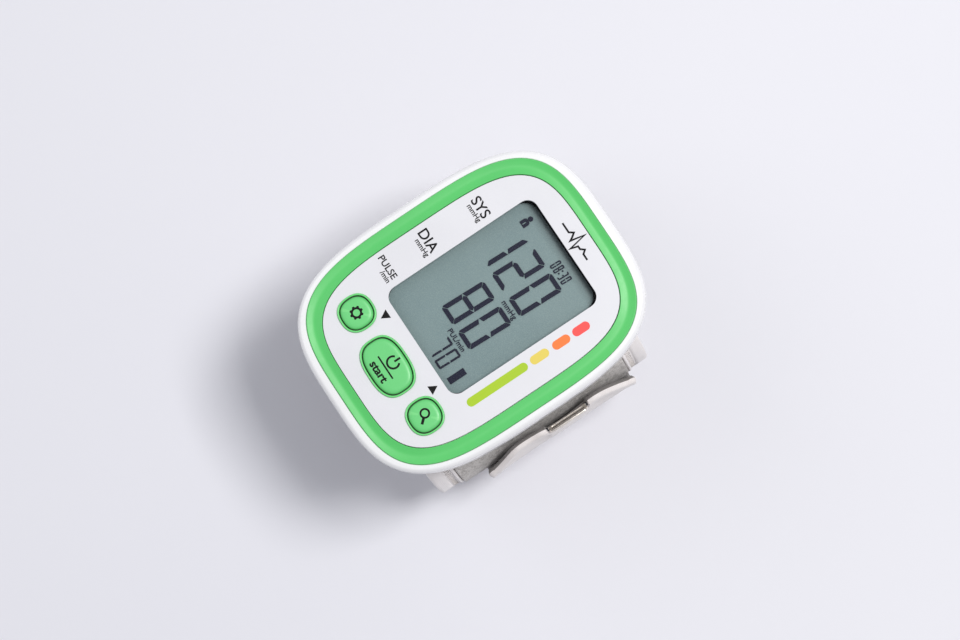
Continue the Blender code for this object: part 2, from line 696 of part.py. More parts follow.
def make_strap():
    strap = section("closure_strap", strap_outline(), *STRAP_Y)
    low, high = STRAP_Y
    for side, edge in (("elbow", low), ("hand", high)):
        way = 1 if side == "hand" else -1
        shoulder = [(edge + way * 0.002, 0.0340), (edge - way * 0.0015, 0.0348),
                    (edge - way * 0.0050, 0.0372), (edge - way * 0.0088, 0.0398),
                    (edge - way * 0.0115, 0.0412), (edge - way * 0.0125, 0.0440),
                    (edge + way * 0.002, 0.0440)]
        cutter = plate(f"shoulder_{side}", [shoulder], 0.030, 0.045, CUTTERS, yz_plane())
        boolean(strap, as_cutter(cutter))
    notch = block("notch", (0.030, RING_Y - NOTCH_HALF, 0.0386),
                  (0.045, RING_Y + NOTCH_HALF, 0.046), CUTTERS)
    boolean(strap, as_cutter(notch))
    x, z = RING_PIVOT
    bore = cylinder("ring_bore", 0.0008, (x, RING_Y - NOTCH_HALF - 0.0026, z),
                    (x, RING_Y + NOTCH_HALF + 0.0026, z), 12, CUTTERS)
    boolean(strap, as_cutter(bore))
    paint(strap, (0.82, 0.81, 0.80), 0.7)

    hook = band("hook_patch", turn_at_height(0.0160), turn_at_height(0.0285), HOOK,
                (low + 0.0040, high - 0.0040), 8)
    paint(hook, (0.75, 0.75, 0.74), 0.9)
    base = band("strap_base", turn_at_height(0.0080), turn_at_height(0.0036),
                (-GAP - STRAP_THICKNESS, -GAP), STRAP_Y, 5)
    paint(base, (0.82, 0.81, 0.80), 0.7)
    pivot = strap_pivot()
    hinge_at("strap_pivot", (pivot.x, 0, pivot.y), [strap, hook])


def strap_pivot():
    return loop_point(turn_at_height(STRAP_PIVOT_Z), -GAP - STRAP_THICKNESS)


def yz_plane():
    """Turns a flat outline so that its X runs along Y, its Y along Z and its height along X."""
    return Matrix(((0, 0, 1, 0), (1, 0, 0, 0), (0, 1, 0, 0), (0, 0, 0, 1)))


def make_pull_ring():
    """A slim wire loop on a cross bar whose ends turn in the strap's hem."""
    (px, pz), (tx, tz) = RING_PIVOT, RING_TIP
    corner = 0.0010
    corners = [(RING_HALF, 0.0), (RING_HALF, 1.0), (-RING_HALF, 1.0), (-RING_HALF, 0.0)]
    height = math.hypot(tx - px, tz - pz)
    loop = []
    for index, (y, up) in enumerate(corners):
        sy = 1 if y > 0 else -1
        su = 1 if up else -1
        centre_y = y - sy * corner
        centre_up = up * height - su * corner
        for step in range(4):
            angle = math.pi / 2 * (index + step / 3) - math.pi / 2
            along = centre_y + corner * math.cos(angle)
            rise = centre_up + corner * math.sin(angle)
            share = rise / height
            loop.append((px + (tx - px) * share, RING_Y + along, pz + (tz - pz) * share))
    ring = wire("pull_ring", loop, RING_WIRE, cyclic=True)
    reach = NOTCH_HALF + 0.0022
    bar = cylinder("ring_bar", RING_WIRE * 0.98, (px, RING_Y - reach, pz), (px, RING_Y + reach, pz), 8,
                   CUTTERS)
    boolean(ring, as_cutter(bar), "UNION")
    paint(ring, (0.80, 0.80, 0.82), 0.12, 1.0)
    hinge_at("ring_pivot", (px, RING_Y, pz), [ring])


def main():
    clear_scene()
    make_lower_housing()
    make_upper_housing()
    door = make_battery_door()
    hinge_at("door_travel", (-0.0320, 0, 0.0547), [door])
    make_screws()
    make_trim_ring()
    make_face_panel()
    make_keypad_frame()
    make_buttons()
    make_display()
    make_electronics()
    make_air_system()
    make_batteries()
    make_battery_cradle()
    make_cuff()
    make_arm()
    make_strap()
    make_pull_ring()


main()
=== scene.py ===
"""The looks of the wrist blood pressure monitor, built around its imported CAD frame.

Lengths are in metres: X to the right as the display is read, Y towards the hand, Z up.
"""
import json
import math

import bmesh
import bpy
from mathutils import Matrix, Vector, noise


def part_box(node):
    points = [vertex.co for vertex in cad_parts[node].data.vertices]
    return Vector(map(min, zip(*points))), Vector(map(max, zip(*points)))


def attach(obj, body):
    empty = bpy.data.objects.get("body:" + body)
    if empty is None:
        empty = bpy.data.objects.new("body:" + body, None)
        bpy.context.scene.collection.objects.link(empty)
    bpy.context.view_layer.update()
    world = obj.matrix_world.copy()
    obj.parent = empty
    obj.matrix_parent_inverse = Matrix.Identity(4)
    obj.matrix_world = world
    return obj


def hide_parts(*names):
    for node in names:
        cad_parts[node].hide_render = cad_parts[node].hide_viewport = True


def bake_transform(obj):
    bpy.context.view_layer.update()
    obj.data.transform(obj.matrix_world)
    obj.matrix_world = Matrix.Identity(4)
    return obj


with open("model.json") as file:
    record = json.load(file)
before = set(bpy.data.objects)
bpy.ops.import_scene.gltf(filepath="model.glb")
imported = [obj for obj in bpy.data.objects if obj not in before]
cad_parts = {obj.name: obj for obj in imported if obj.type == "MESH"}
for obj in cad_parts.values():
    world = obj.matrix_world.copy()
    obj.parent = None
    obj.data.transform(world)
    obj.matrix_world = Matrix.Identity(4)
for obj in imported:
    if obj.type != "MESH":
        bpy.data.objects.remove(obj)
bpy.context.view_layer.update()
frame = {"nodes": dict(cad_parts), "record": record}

MONITOR = "monitor"


# Places read from the frame ---------------------------------------------------------------

def corners(node):
    """The lowest and the highest corner of a node's box."""
    return [Vector(corner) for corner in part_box(node)]


PANEL_LOW, PANEL_HIGH = corners("face_panel")
FACE_TOP = PANEL_HIGH.z
LCD_TOP = corners("lcd_glass")[1].z
UPPER_LOW, UPPER_HIGH = corners("upper_housing")
COVER_LOW, COVER_HIGH = corners("cuff_cover")
JOINTS = {joint["name"]: joint for joint in frame["record"]["behaviour"]["joints"]}

# Housing outline
BODY_HALF = (0.0332, 0.0436)
BODY_POWER = 3.40
SPLIT_Z = UPPER_LOW.z
RIM_TOP_Z = UPPER_HIGH.z
DECK_TOP_Z = 0.0697
DECK_BOTTOM_Z = 0.0681
UPPER_WALL = 0.0017
LOWER_WALL = 0.0029
GAP = 0.0003
SEAM = 0.00004
RING_OUTER = (0.0308, 0.0406, 3.72)
RING_INNER = (0.0265, 0.0367, 3.97)
WINDOW = (0.0328, 0.0460, 0.0030)
WINDOW_Y = 0.00665
KEYPAD_Y = -0.0259
FACE_GAP = 0.00014
SCREWS = [(sx * 0.0130, sy * 0.0358) for sx in (-1, 1) for sy in (-1, 1)]

# Buttons: centre, half sizes of the cap, and how square its outline is
BUTTONS = {
    "settings": ((-0.0161, -0.02505), (0.0041, 0.0041), 2.4),
    "start": ((0.0, -0.0260), (0.0075, 0.0050), 2.75),
    "memory": ((0.0161, -0.02505), (0.0041, 0.0041), 2.4),
}
CAP_TOP_Z = 0.0721
COLLAR_TOP_Z = 0.0718
COLLAR_WALL = 0.00050
CAP_GAP = 0.00030

# Cuff
LOOP_HALF = (0.0336, 0.0256)
LOOP_POWER = 2.4
LOOP_CENTRE_Z = 0.0250
BASE_EASE = 0.00022
CUFF_Y = (COVER_LOW.y, COVER_HIGH.y)
COVER = (0.0, 0.0010)
LINING = (0.0049, 0.0059)
TAPE_WIDTH = 0.0037
TAPE_WRINKLE = 0.00008
STITCH_PITCH = 0.0015
STITCH_ROWS = (0.0042, 0.0054)
STITCH_DEPTH = -0.00012
PIPING_Y = (-0.0284, 0.0277)
PIPING_RADIUS = 0.0005
STRAP_Y = (-0.0209, 0.0274)
RING_Y = 0.0058
RING_PIVOT = (0.0357, 0.0401)
RING_TIP = (0.0370, 0.0427)
RING_WIRE = 0.00036
NOTCH_HALF = 0.0065
INK = 0.00003

# Degrees between two faces from which the edge between them shows as sharp
SHARP_ANGLE = 40
SOFT_ANGLE = 60


# Shapes -----------------------------------------------------------------------------------

def reach_at(angle, half_x, half_y, power):
    """How far a superellipse reaches from its centre at an angle."""
    cx = abs(math.cos(angle)) / half_x
    cy = abs(math.sin(angle)) / half_y
    return (cx ** power + cy ** power) ** (-1 / power)


def superellipse(half_x, half_y, power, count=192):
    points = []
    for step in range(count):
        angle = 2 * math.pi * (step + 0.5) / count
        radius = reach_at(angle, half_x, half_y, power)
        points.append((radius * math.cos(angle), radius * math.sin(angle)))
    return points


def body_outline(inset, power=BODY_POWER):
    """The housing's outline, moved inwards."""
    return superellipse(BODY_HALF[0] - inset, BODY_HALF[1] - inset, power)


def rounded_rectangle(width, height, radius, steps=10):
    points = []
    for quarter, (sx, sy) in enumerate([(1, 1), (-1, 1), (-1, -1), (1, -1)]):
        for step in range(steps + 1):
            angle = math.pi / 2 * (quarter + step / steps)
            points.append((sx * (width / 2 - radius) + radius * math.cos(angle),
                           sy * (height / 2 - radius) + radius * math.sin(angle)))
    return points


def rounded_at(y, width, height, radius):
    """A rounded rectangle centred on the face's middle line."""
    return shifted(rounded_rectangle(width, height, radius), 0, y)


def circle(radius, count=48, start=0.0, end=1.0):
    """Points of a circle, or of a part of it as fractions of a turn from the top."""
    whole = end - start >= 1
    steps = count if whole else count + 1
    points = []
    for step in range(steps):
        angle = math.pi / 2 - 2 * math.pi * (start + (end - start) * step / count)
        points.append((radius * math.cos(angle), radius * math.sin(angle)))
    return points


def shifted(points, x, y):
    return [(px + x, py + y) for px, py in points]


def smooth_rows(rows, steps=5):
    """Extra rows between the given ones, on a smooth curve through them."""
    result = []
    for index in range(len(rows) - 1):
        p0, p1 = rows[max(index - 1, 0)], rows[index]
        p2, p3 = rows[index + 1], rows[min(index + 2, len(rows) - 1)]
        for step in range(steps):
            t = step / steps
            result.append(tuple(
                0.5 * (2 * b + (c - a) * t + (2 * a - 5 * b + 4 * c - d) * t * t
                       + (3 * b - a - 3 * c + d) * t ** 3)
                for a, b, c, d in zip(p0, p1, p2, p3)))
    result.append(tuple(rows[-1]))
    return result


def link(obj):
    bpy.context.scene.collection.objects.link(obj)
    return obj


def shade(obj, angle=SHARP_ANGLE):
    obj.data.shade_smooth()
    obj.data.set_sharp_from_angle(angle=math.radians(angle))
    return obj


def add_mesh(name, bm, angle=SHARP_ANGLE, weld=1e-7):
    bmesh.ops.remove_doubles(bm, verts=bm.verts, dist=weld)
    bmesh.ops.recalc_face_normals(bm, faces=bm.faces)
    mesh = bpy.data.meshes.new(name)
    bm.to_mesh(mesh)
    bm.free()
    return shade(link(bpy.data.objects.new(name, mesh)), angle)


def skin(bm, rows, closed=False):
    """Join rows of vertices into a tube, capped at both ends unless it closes on itself."""
    count = len(rows[0])
    following = rows[1:] + rows[:1] if closed else rows[1:]
    for lower, upper in zip(rows, following):
        for i in range(count):
            j = (i + 1) % count
            bm.faces.new((lower[i], lower[j], upper[j], upper[i]))
    if not closed:
        bm.faces.new(rows[0])
        bm.faces.new(rows[-1])


def loft(name, rings, closed=False):
    """Skin a row of rings, each a list of points and a height."""
    bm = bmesh.new()
    skin(bm, [[bm.verts.new((x, y, z)) for x, y in points] for points, z in rings], closed)
    return add_mesh(name, bm)


def from_curve(name, curve, matrix=Matrix(), angle=SHARP_ANGLE):
    holder = link(bpy.data.objects.new(name + "_curve", curve))
    graph = bpy.context.evaluated_depsgraph_get()
    mesh = bpy.data.meshes.new_from_object(holder.evaluated_get(graph))
    bpy.data.objects.remove(holder, do_unlink=True)
    bm = bmesh.new()
    bm.from_mesh(mesh)
    bpy.data.meshes.remove(mesh)
    bmesh.ops.transform(bm, matrix=matrix, verts=bm.verts)
    return add_mesh(name, bm, angle, 1e-6)


def plate(name, outlines, low, high, matrix=Matrix()):
    """A flat piece between two heights, from closed outlines; inner outlines are holes."""
    curve = bpy.data.curves.new(name, "CURVE")
    curve.dimensions = "2D"
    curve.fill_mode = "BOTH"
    curve.extrude = (high - low) / 2
    for outline in outlines:
        spline = curve.splines.new("POLY")
        spline.points.add(len(outline) - 1)
        for point, (x, y) in zip(spline.points, outline):
            point.co = (x, y, 0, 1)
        spline.use_cyclic_u = True
    return from_curve(name, curve, matrix @ Matrix.Translation((0, 0, (low + high) / 2)))


def section(name, outline, y0, y1):
    """A piece with an outline in XZ, running along Y."""
    return plate(name, [outline], -y1, -y0, Matrix.Rotation(math.pi / 2, 4, "X"))


def wire(name, points, radius, cyclic=False, resolution=4):
    curve = bpy.data.curves.new(name, "CURVE")
    curve.dimensions = "3D"
    curve.bevel_depth = radius
    curve.bevel_resolution = resolution
    curve.use_fill_caps = not cyclic
    spline = curve.splines.new("POLY")
    spline.points.add(len(points) - 1)
    for point, place in zip(spline.points, points):
        point.co = (*place, 1)
    spline.use_cyclic_u = cyclic
    return from_curve(name, curve, angle=SOFT_ANGLE)


def cylinder(name, radius, x, y, low, high):
    bm = bmesh.new()
    bmesh.ops.create_cone(bm, cap_ends=True, segments=40, radius1=radius, radius2=radius,
                          depth=high - low)
    bmesh.ops.translate(bm, vec=(x, y, (low + high) / 2), verts=bm.verts)
    return add_mesh(name, bm)


def block(name, low, high):
    low, high = Vector(low), Vector(high)
    bm = bmesh.new()
    bmesh.ops.create_cube(bm, size=1)
    bmesh.ops.scale(bm, vec=high - low, verts=bm.verts)
    bmesh.ops.translate(bm, vec=(low + high) / 2, verts=bm.verts)
    return add_mesh(name, bm)


def cut(obj, cutters, operation="DIFFERENCE"):
    """Cut or join with each cutter in turn, and keep only the result."""
    for cutter in cutters:
        modifier = obj.modifiers.new(cutter.name, "BOOLEAN")
        modifier.operation = operation
        modifier.object = cutter
        modifier.solver = "MANIFOLD"
    graph = bpy.context.evaluated_depsgraph_get()
    mesh = bpy.data.meshes.new_from_object(obj.evaluated_get(graph))
    obj.modifiers.clear()
    old = obj.data
    obj.data = mesh
    bpy.data.meshes.remove(old)
    for cutter in cutters:
        bpy.data.objects.remove(cutter, do_unlink=True)
    return shade(obj)


def merged(name, objects, angle=SHARP_ANGLE):
    """One mesh object from several."""
    bm = bmesh.new()
    for obj in objects:
        bm.from_mesh(obj.data)
        bpy.data.objects.remove(obj, do_unlink=True)
    return add_mesh(name, bm, angle, 1e-8)


def soften(obj, width, segments=3):
    """Round the sharp edges of a piece."""
    modifier = obj.modifiers.new("edges", "BEVEL")
    modifier.width = width
    modifier.segments = segments
    modifier.limit_method = "ANGLE"
    modifier.angle_limit = math.radians(SHARP_ANGLE)
    modifier.harden_normals = True


# The cuff's outline -----------------------------------------------------------------------

def dense_loop(count=2880):
    points = []
    for step in range(count):
        angle = math.pi / 2 - 2 * math.pi * step / count
        radius = reach_at(angle, *LOOP_HALF, LOOP_POWER)
        z = LOOP_CENTRE_Z + radius * math.sin(angle)
        soft_z = BASE_EASE * math.log1p(math.exp(z / BASE_EASE)) if z < 0.004 else z
        points.append(Vector((radius * math.cos(angle), soft_z)))
    return points


LOOP = dense_loop()
LOOP_LENGTH = sum((after - before).length for before, after in zip(LOOP, LOOP[1:]))


def loop_normal(turn):
    index = math.floor(turn * len(LOOP))
    before, after = LOOP[(index - 8) % len(LOOP)], LOOP[(index + 9) % len(LOOP)]
    along = (after - before).normalized()
    return Vector((-along.y, along.x))


def loop_point(turn, depth):
    """A point of the cuff's outline at a fraction of a turn, moved inwards by depth."""
    index = turn * len(LOOP)
    low = math.floor(index)
    place = LOOP[low % len(LOOP)].lerp(LOOP[(low + 1) % len(LOOP)], index - low)
    return place - loop_normal(turn) * depth


def turn_at_height(z):
    """The fraction of a turn at which the right side comes down to a height."""
    for step in range(len(LOOP) // 2):
        if LOOP[step].x > 0.01 and LOOP[step].y <= z:
            return step / len(LOOP)
    return 0.5


def turn_of_x(x):
    span = range(-len(LOOP) // 5, len(LOOP) // 5)
    return min(span, key=lambda i: abs(LOOP[i % len(LOOP)].x - x)) / len(LOOP)


ARM_HIDDEN = turn_at_height(0.0462)
ARM_SHOWN = turn_at_height(0.0425)
ARM_END = turn_at_height(0.0205)
COVER_START = turn_at_height(0.0190)
PILE_END = turn_at_height(0.0219)


def cloth_vertices(rows):
    """A new mesh with a vertex for each place and its cloth coordinates, in metres."""
    bm = bmesh.new()
    layer = bm.verts.layers.float_vector.new("cloth")
    made = []
    for row in rows:
        made.append([bm.verts.new(spot) for spot, _ in row])
        for vert, (_, cloth) in zip(made[-1], row):
            vert[layer] = cloth
    return bm, made


def cloth_tube(name, rows):
    bm, made = cloth_vertices(rows)
    skin(bm, made)
    return add_mesh(name, bm, SOFT_ANGLE, 1e-8)


def sweep(name, start, end, count, profile, wrinkle=0.0, seed=0.0):
    """A band along the cuff's outline; profile gives its closed section as (y, depth) points."""
    rows, along, before = [], 0.0, None
    for i in range(count + 1):
        turn = start + (end - start) * i / count
        centre, out = loop_point(turn, 0), loop_normal(turn)
        along += (centre - before).length if before is not None else 0.0
        before = centre
        row = []
        for y, depth in profile:
            lift = 0.0
            if wrinkle:
                lift = wrinkle * noise.noise(Vector((along * 90 + seed, y * 110, depth * 40)))
            spot = centre - out * (depth - lift)
            row.append(((spot.x, y, spot.y), (along, y + depth, seed)))
        rows.append(row)
    piece = cloth_tube(name, rows)
    piece["run"] = along
    return piece


def slab_profile(y0, y1, outer, inner, steps=40, rounding=0.0004, groove=()):
    """A flat section with rounded edges and shallow sewn grooves on its outer side."""
    points = []
    for i in range(steps + 1):
        y = y0 + rounding + (y1 - y0 - 2 * rounding) * i / steps
        depth = outer
        for seam in groove:
            depth += 0.00022 * math.exp(-((y - seam) / 0.00045) ** 2)
        points.append((y, depth))
    points += [(y1 - rounding * 0.3, outer + rounding * 0.3), (y1, outer + rounding)]
    points += [(y1, inner - rounding), (y1 - rounding * 0.3, inner - rounding * 0.3)]
    points += [(y1 - rounding - (y1 - y0 - 2 * rounding) * i / 12, inner) for i in range(13)]
    points += [(y0 + rounding * 0.3, inner - rounding * 0.3), (y0, inner - rounding)]
    points += [(y0, outer + rounding), (y0 + rounding * 0.3, outer + rounding * 0.3)]
    return points


# Materials --------------------------------------------------------------------------------

def srgb(red, green, blue):
    """Linear colour of an sRGB triple from 0 to 255."""
    def linear(value):
        value /= 255
        return value / 12.92 if value <= 0.04045 else ((value + 0.055) / 1.055) ** 2.4
    return (linear(red), linear(green), linear(blue), 1.0)


def dimmed(colour, share):
    """A colour with each channel brought down to a share of itself."""
    return tuple(channel * share for channel in colour[:3]) + (1.0,)


class Look:
    """A Principled material with helpers for its procedural detail."""

    def __init__(self, name, colour, roughness, metallic=0.0, **sockets):
        self.material = bpy.data.materials.new(name)
        self.material.use_nodes = True
        self.nodes = self.material.node_tree.nodes
        self.links = self.material.node_tree.links
        self.shader = self.nodes["Principled BSDF"]
        self.colour = colour
        self.roughness = roughness
        sockets.update(Base_Color=colour, Roughness=roughness, Metallic=metallic)
        for socket, value in sockets.items():
            self.shader.inputs[socket.replace("_", " ")].default_value = value
        self.place = self.node("TexCoord", "Object")

    def node(self, kind, output, inputs=None, **settings):
        """Add a node, set or link its inputs, and give one of its outputs."""
        made = self.nodes.new("ShaderNode" + kind)
        for name, value in settings.items():
            setattr(made, name, value)
        for name, value in (inputs or {}).items():
            if isinstance(value, bpy.types.NodeSocket):
                self.links.new(value, made.inputs[name])
            else:
                made.inputs[name].default_value = value
        return made.outputs[output]

    def before(self, socket, otherwise=None):
        """What feeds a socket of the shader so far."""
        links = self.shader.inputs[socket].links
        return links[0].from_socket if links else otherwise

    def part(self, vector, axis):
        """One component of a vector."""
        return self.node("SeparateXYZ", axis, {"Vector": vector})

    def noise(self, scale, detail, rough=0.5, vector=None):
        return self.node("TexNoise", "Fac", {"Scale": scale, "Detail": detail, "Roughness": rough,
                                             "Vector": vector or self.place})

    def math(self, operation, first, second=0.0):
        return self.node("Math", "Value", {0: first, 1: second}, operation=operation)

    def spread(self, factor, low, high, to_low, to_high):
        return self.node("MapRange", "Result", {"Value": factor, "From Min": low, "From Max": high,
                                                "To Min": to_low, "To Max": to_high})

    def tint(self, factor, other, low, high, amount=1.0):
        """Mix another colour in where the factor is high."""
        inputs = {"Factor": self.spread(factor, low, high, 0.0, amount),
                  "A": self.before("Base Color", self.colour), "B": other}
        mixed = self.node("Mix", "Result", inputs, data_type="RGBA")
        self.links.new(mixed, self.shader.inputs["Base Color"])

    def gloss(self, factor, change):
        """Vary the roughness by a factor."""
        value = self.spread(factor, 0.3, 0.7, self.roughness - change, self.roughness + change)
        self.links.new(value, self.shader.inputs["Roughness"])

    def bump(self, factor, distance):
        inputs = {"Distance": distance, "Strength": 1.0, "Height": factor}
        if self.before("Normal"):
            inputs["Normal"] = self.before("Normal")
        self.links.new(self.node("Bump", "Normal", inputs), self.shader.inputs["Normal"])

    def worn(self, other):
        """Lighten the convex edges a little, where handling rubs them."""
        self.tint(self.node("NewGeometry", "Pointiness"), other, 0.52, 0.62, 0.35)

    def cloth(self):
        return self.node("Attribute", "Vector", attribute_name="cloth")

    def wave(self, scale, direction, vector):
        inputs = {"Scale": scale, "Distortion": 0.6, "Detail": 1.0, "Detail Scale": 3.0,
                  "Vector": vector}
        return self.node("TexWave", "Fac", inputs, bands_direction=direction)


WAVE_PERIOD = math.pi / 10


def plastic(name, colour, roughness, grain, worn=None, **sockets):
    look = Look(name, colour, roughness, **sockets)
    look.tint(look.noise(60, 4), dimmed(colour, 0.94), 0.45, 0.75, 0.6)
    look.gloss(look.noise(260, 5, 0.7), 0.05)
    look.bump(look.noise(5200, 3), grain)
    look.bump(look.noise(420, 2), grain * 1.5)
    if worn:
        look.worn(worn)
    return look.material


def woven(name, colour, other, pitch, depth, roughness, mottle=0.6, inside=None):
    """A plain weave in the piece's own cloth coordinates; inside colours its inner face darker, as
    painted shade.
    """
    look = Look(name, colour, roughness, Sheen_Weight=0.25, Sheen_Roughness=0.5)
    cloth = look.cloth()
    warp = look.wave(WAVE_PERIOD / pitch, "X", cloth)
    weft = look.wave(WAVE_PERIOD / pitch, "Y", cloth)
    weave = look.math("MULTIPLY", warp, weft)
    look.tint(look.noise(130, 5, 0.65), other, 0.42, 0.68, mottle)
    look.tint(look.math("SUBTRACT", 1.0, weave), dimmed(colour, 0.80), 0.55, 1.0, 0.35)
    # Painted shade: the inner face takes the darker inside colour.
    if inside:
        look.tint(look.part(cloth, "Z"), inside, -0.92, -0.99)
    look.gloss(look.noise(900, 3), 0.08)
    look.bump(weave, depth)
    look.bump(look.noise(300, 4), depth * 1.6)
    return look.material


def metal(name, colour, roughness, scratch=0.000004, stretch=(1, 1, 1)):
    look = Look(name, colour, roughness, 1.0)
    stretched = look.node("Mapping", "Vector", {"Scale": stretch, "Vector": look.place})
    grain = look.noise(900, 4, 0.6, stretched)
    look.gloss(grain, min(0.05, roughness * 0.6))
    look.bump(grain, scratch)
    look.tint(look.noise(240, 5), dimmed(colour, 0.7), 0.55, 0.8, 0.4)
    return look.material


def finish_with(obj, material):
    obj.data.materials.clear()
    obj.data.materials.append(material)


def place(obj, material, body, slot, *nodes):
    """Give a piece its material, attach it to its body unless body is None, and hide the nodes it
    stands for; slot is not used.
    """
    finish_with(obj, material)
    if body:
        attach(obj, body)
    if nodes:
        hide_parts(*nodes)
    return obj


WHITE = plastic("white_abs", srgb(243, 243, 244), 0.26, 0.000003, Coat_Weight=0.35,
                Coat_Roughness=0.12)
WHITE_LOW = plastic("white_abs_satin", srgb(238, 238, 238), 0.36, 0.000014)
PANEL = plastic("panel_print", srgb(224, 224, 228), 0.42, 0.000006)
GREEN = plastic("green_ring", srgb(88, 200, 105), 0.44, 0.000004, Coat_Weight=0.12,
                Coat_Roughness=0.4)
COLLAR = plastic("green_collar", srgb(112, 216, 124), 0.34, 0.000005, worn=srgb(150, 235, 155))
KEY = plastic("green_key", srgb(108, 208, 124), 0.38, 0.000006, worn=srgb(140, 230, 145))
INK_BLACK = plastic("ink_black", srgb(10, 9, 11), 0.6, 0.000002, Specular_IOR_Level=0.2)
SEGMENT = plastic("lcd_segment", srgb(36, 38, 58), 0.45, 0.000002, Specular_IOR_Level=0.2)
# Black foam round the display, used as painted shadow along the window's +Y and +X edges.
SHADOW_FOAM = plastic("black_foam_shadow", srgb(26, 27, 30), 0.8, 0.00001, Specular_IOR_Level=0.2)
PILL_COLOURS = {"red": (246, 74, 70), "orange": (244, 122, 46), "yellow": (228, 206, 88),
                "lime": (168, 202, 18)}
PILLS = {name: plastic(f"ink_{name}", srgb(*colour), 0.45, 0.000003)
         for name, colour in PILL_COLOURS.items()}
RUBBER = plastic("black_rubber", srgb(30, 30, 32), 0.6, 0.00001)
BLACK = plastic("black_plastic", srgb(36, 36, 40), 0.42, 0.00001)
FRAME_WHITE = plastic("moulded_white", srgb(226, 226, 222), 0.5, 0.00001)
SENSOR = plastic("sensor_grey", srgb(205, 204, 198), 0.5, 0.000008)
PLATE_GREY = plastic("formed_sheet", srgb(92, 92, 96), 0.45, 0.000012)
BLADDER = plastic("bladder_film", srgb(110, 112, 118), 0.4, 0.00003)
SILICONE = plastic("silicone", srgb(222, 222, 216), 0.35, 0.000005, Subsurface_Weight=0.2,
                   Subsurface_Radius=(0.002, 0.002, 0.002), Subsurface_Scale=0.5)
NYLON = woven("nylon", srgb(246, 241, 240), srgb(232, 226, 224), 0.00045, 0.00003, 0.6)
NYLON_COVER = woven("nylon_cover", srgb(214, 209, 206), srgb(198, 193, 190), 0.00050, 0.00004, 0.7)
LINING_CLOTH = woven("brushed_lining", srgb(172, 171, 174), srgb(146, 145, 149), 0.00070, 0.00012,
                     0.9, 1.0)
HOOK_CLOTH = woven("hook_tape", srgb(212, 209, 205), srgb(190, 187, 183), 0.00090, 0.00012, 0.7)
# The strap's dark inside colour is painted shade for the gap between the strap and the pile.
STRAP_CLOTH = woven("strap_nylon", srgb(238, 232, 230), srgb(220, 211, 208), 0.00045, 0.00003, 0.6,
                    inside=srgb(114, 110, 107))
THREAD = woven("thread", srgb(206, 201, 198), srgb(184, 179, 176), 0.00025, 0.00002, 0.6)
STEEL = metal("plated_steel", srgb(196, 196, 200), 0.26)
CAN = metal("can_metal", srgb(186, 187, 190), 0.32, 0.000006, (1, 12, 1))
CHROME = metal("chrome", srgb(255, 248, 238), 0.30, 0.000001)


def pile_material():
    """Loop pile: mottled greys with a fine tangled surface."""
    look = Look("loop_pile", srgb(204, 199, 195), 0.95, Sheen_Weight=0.4, Sheen_Roughness=0.6)
    look.tint(look.noise(520, 6, 0.75), srgb(158, 152, 147), 0.44, 0.62, 0.9)
    look.tint(look.noise(1900, 4, 0.7), srgb(236, 232, 228), 0.52, 0.68, 0.9)
    look.tint(look.noise(4200, 3, 0.7), srgb(132, 125, 120), 0.55, 0.70, 0.7)
    look.bump(look.noise(3000, 5, 0.75), 0.00025)
    return look.material


def board_material():
    """Solder mask with traces showing through and pale pads."""
    look = Look("solder_mask", srgb(24, 98, 52), 0.35, Coat_Weight=0.3, Coat_Roughness=0.2)
    cells = look.node("TexBrick", "Fac", {"Scale": 420, "Mortar Size": 0.05,
                                          "Vector": look.place})
    look.tint(cells, srgb(70, 150, 92), 0.0, 1.0, 0.8)
    look.tint(look.noise(300, 2), srgb(16, 74, 38), 0.5, 0.6, 0.6)
    look.bump(cells, 0.00002)
    return look.material


def cell_material():
    """A wrapped cell: a bright sleeve with a darker band along its positive end."""
    look = Look("cell_sleeve", srgb(36, 84, 150), 0.28, 0.35, Coat_Weight=0.4)
    end = look.math("ABSOLUTE", look.part(look.place, "Y"))
    look.tint(end, srgb(190, 160, 92), 0.0135, 0.0140)
    look.tint(end, srgb(196, 196, 198), 0.0236, 0.0238)
    look.gloss(look.noise(700, 4), 0.05)
    look.bump(look.noise(1500, 2), 0.000006)
    return look.material


def lcd_material():
    """The reflector behind the display: grey green with a faint sparkle, soft mottling and a
    painted shadow darkening it towards the window's +Y edge.
    """
    look = Look("lcd_reflector", srgb(134, 157, 158), 0.42)
    look.tint(look.noise(38, 2), srgb(122, 146, 149), 0.35, 0.7, 0.8)
    look.tint(look.noise(3800, 3, 0.8), srgb(156, 176, 172), 0.46, 0.70, 0.7)
    # Painted shadow: the last 4 mm below the window's +Y edge fade to dark grey, in place of the
    # shadow the window's edge casts.
    edge = WINDOW_Y + WINDOW[1] / 2
    edge_shadow = look.spread(look.part(look.place, "Y"), edge - 0.0040, edge, 0.0, 1.0)
    look.tint(look.math("POWER", edge_shadow, 1.5), srgb(46, 51, 56), 0.0, 1.0, 0.92)
    look.gloss(look.noise(500, 3), 0.05)
    look.bump(look.noise(5200, 2), 0.000004)
    return look.material


def lens_material():
    """The clear window: it hardly tints, and it catches soft reflections."""
    look = Look("lens", srgb(24, 28, 30), 0.06, Alpha=0.06)
    look.gloss(look.noise(180, 3), 0.03)
    look.bump(look.noise(90, 1), 0.000004)
    return look.material


PILE = pile_material()
BOARD = board_material()
CELL = cell_material()
LCD = lcd_material()
LENS = lens_material()


# Housing ----------------------------------------------------------------------------------

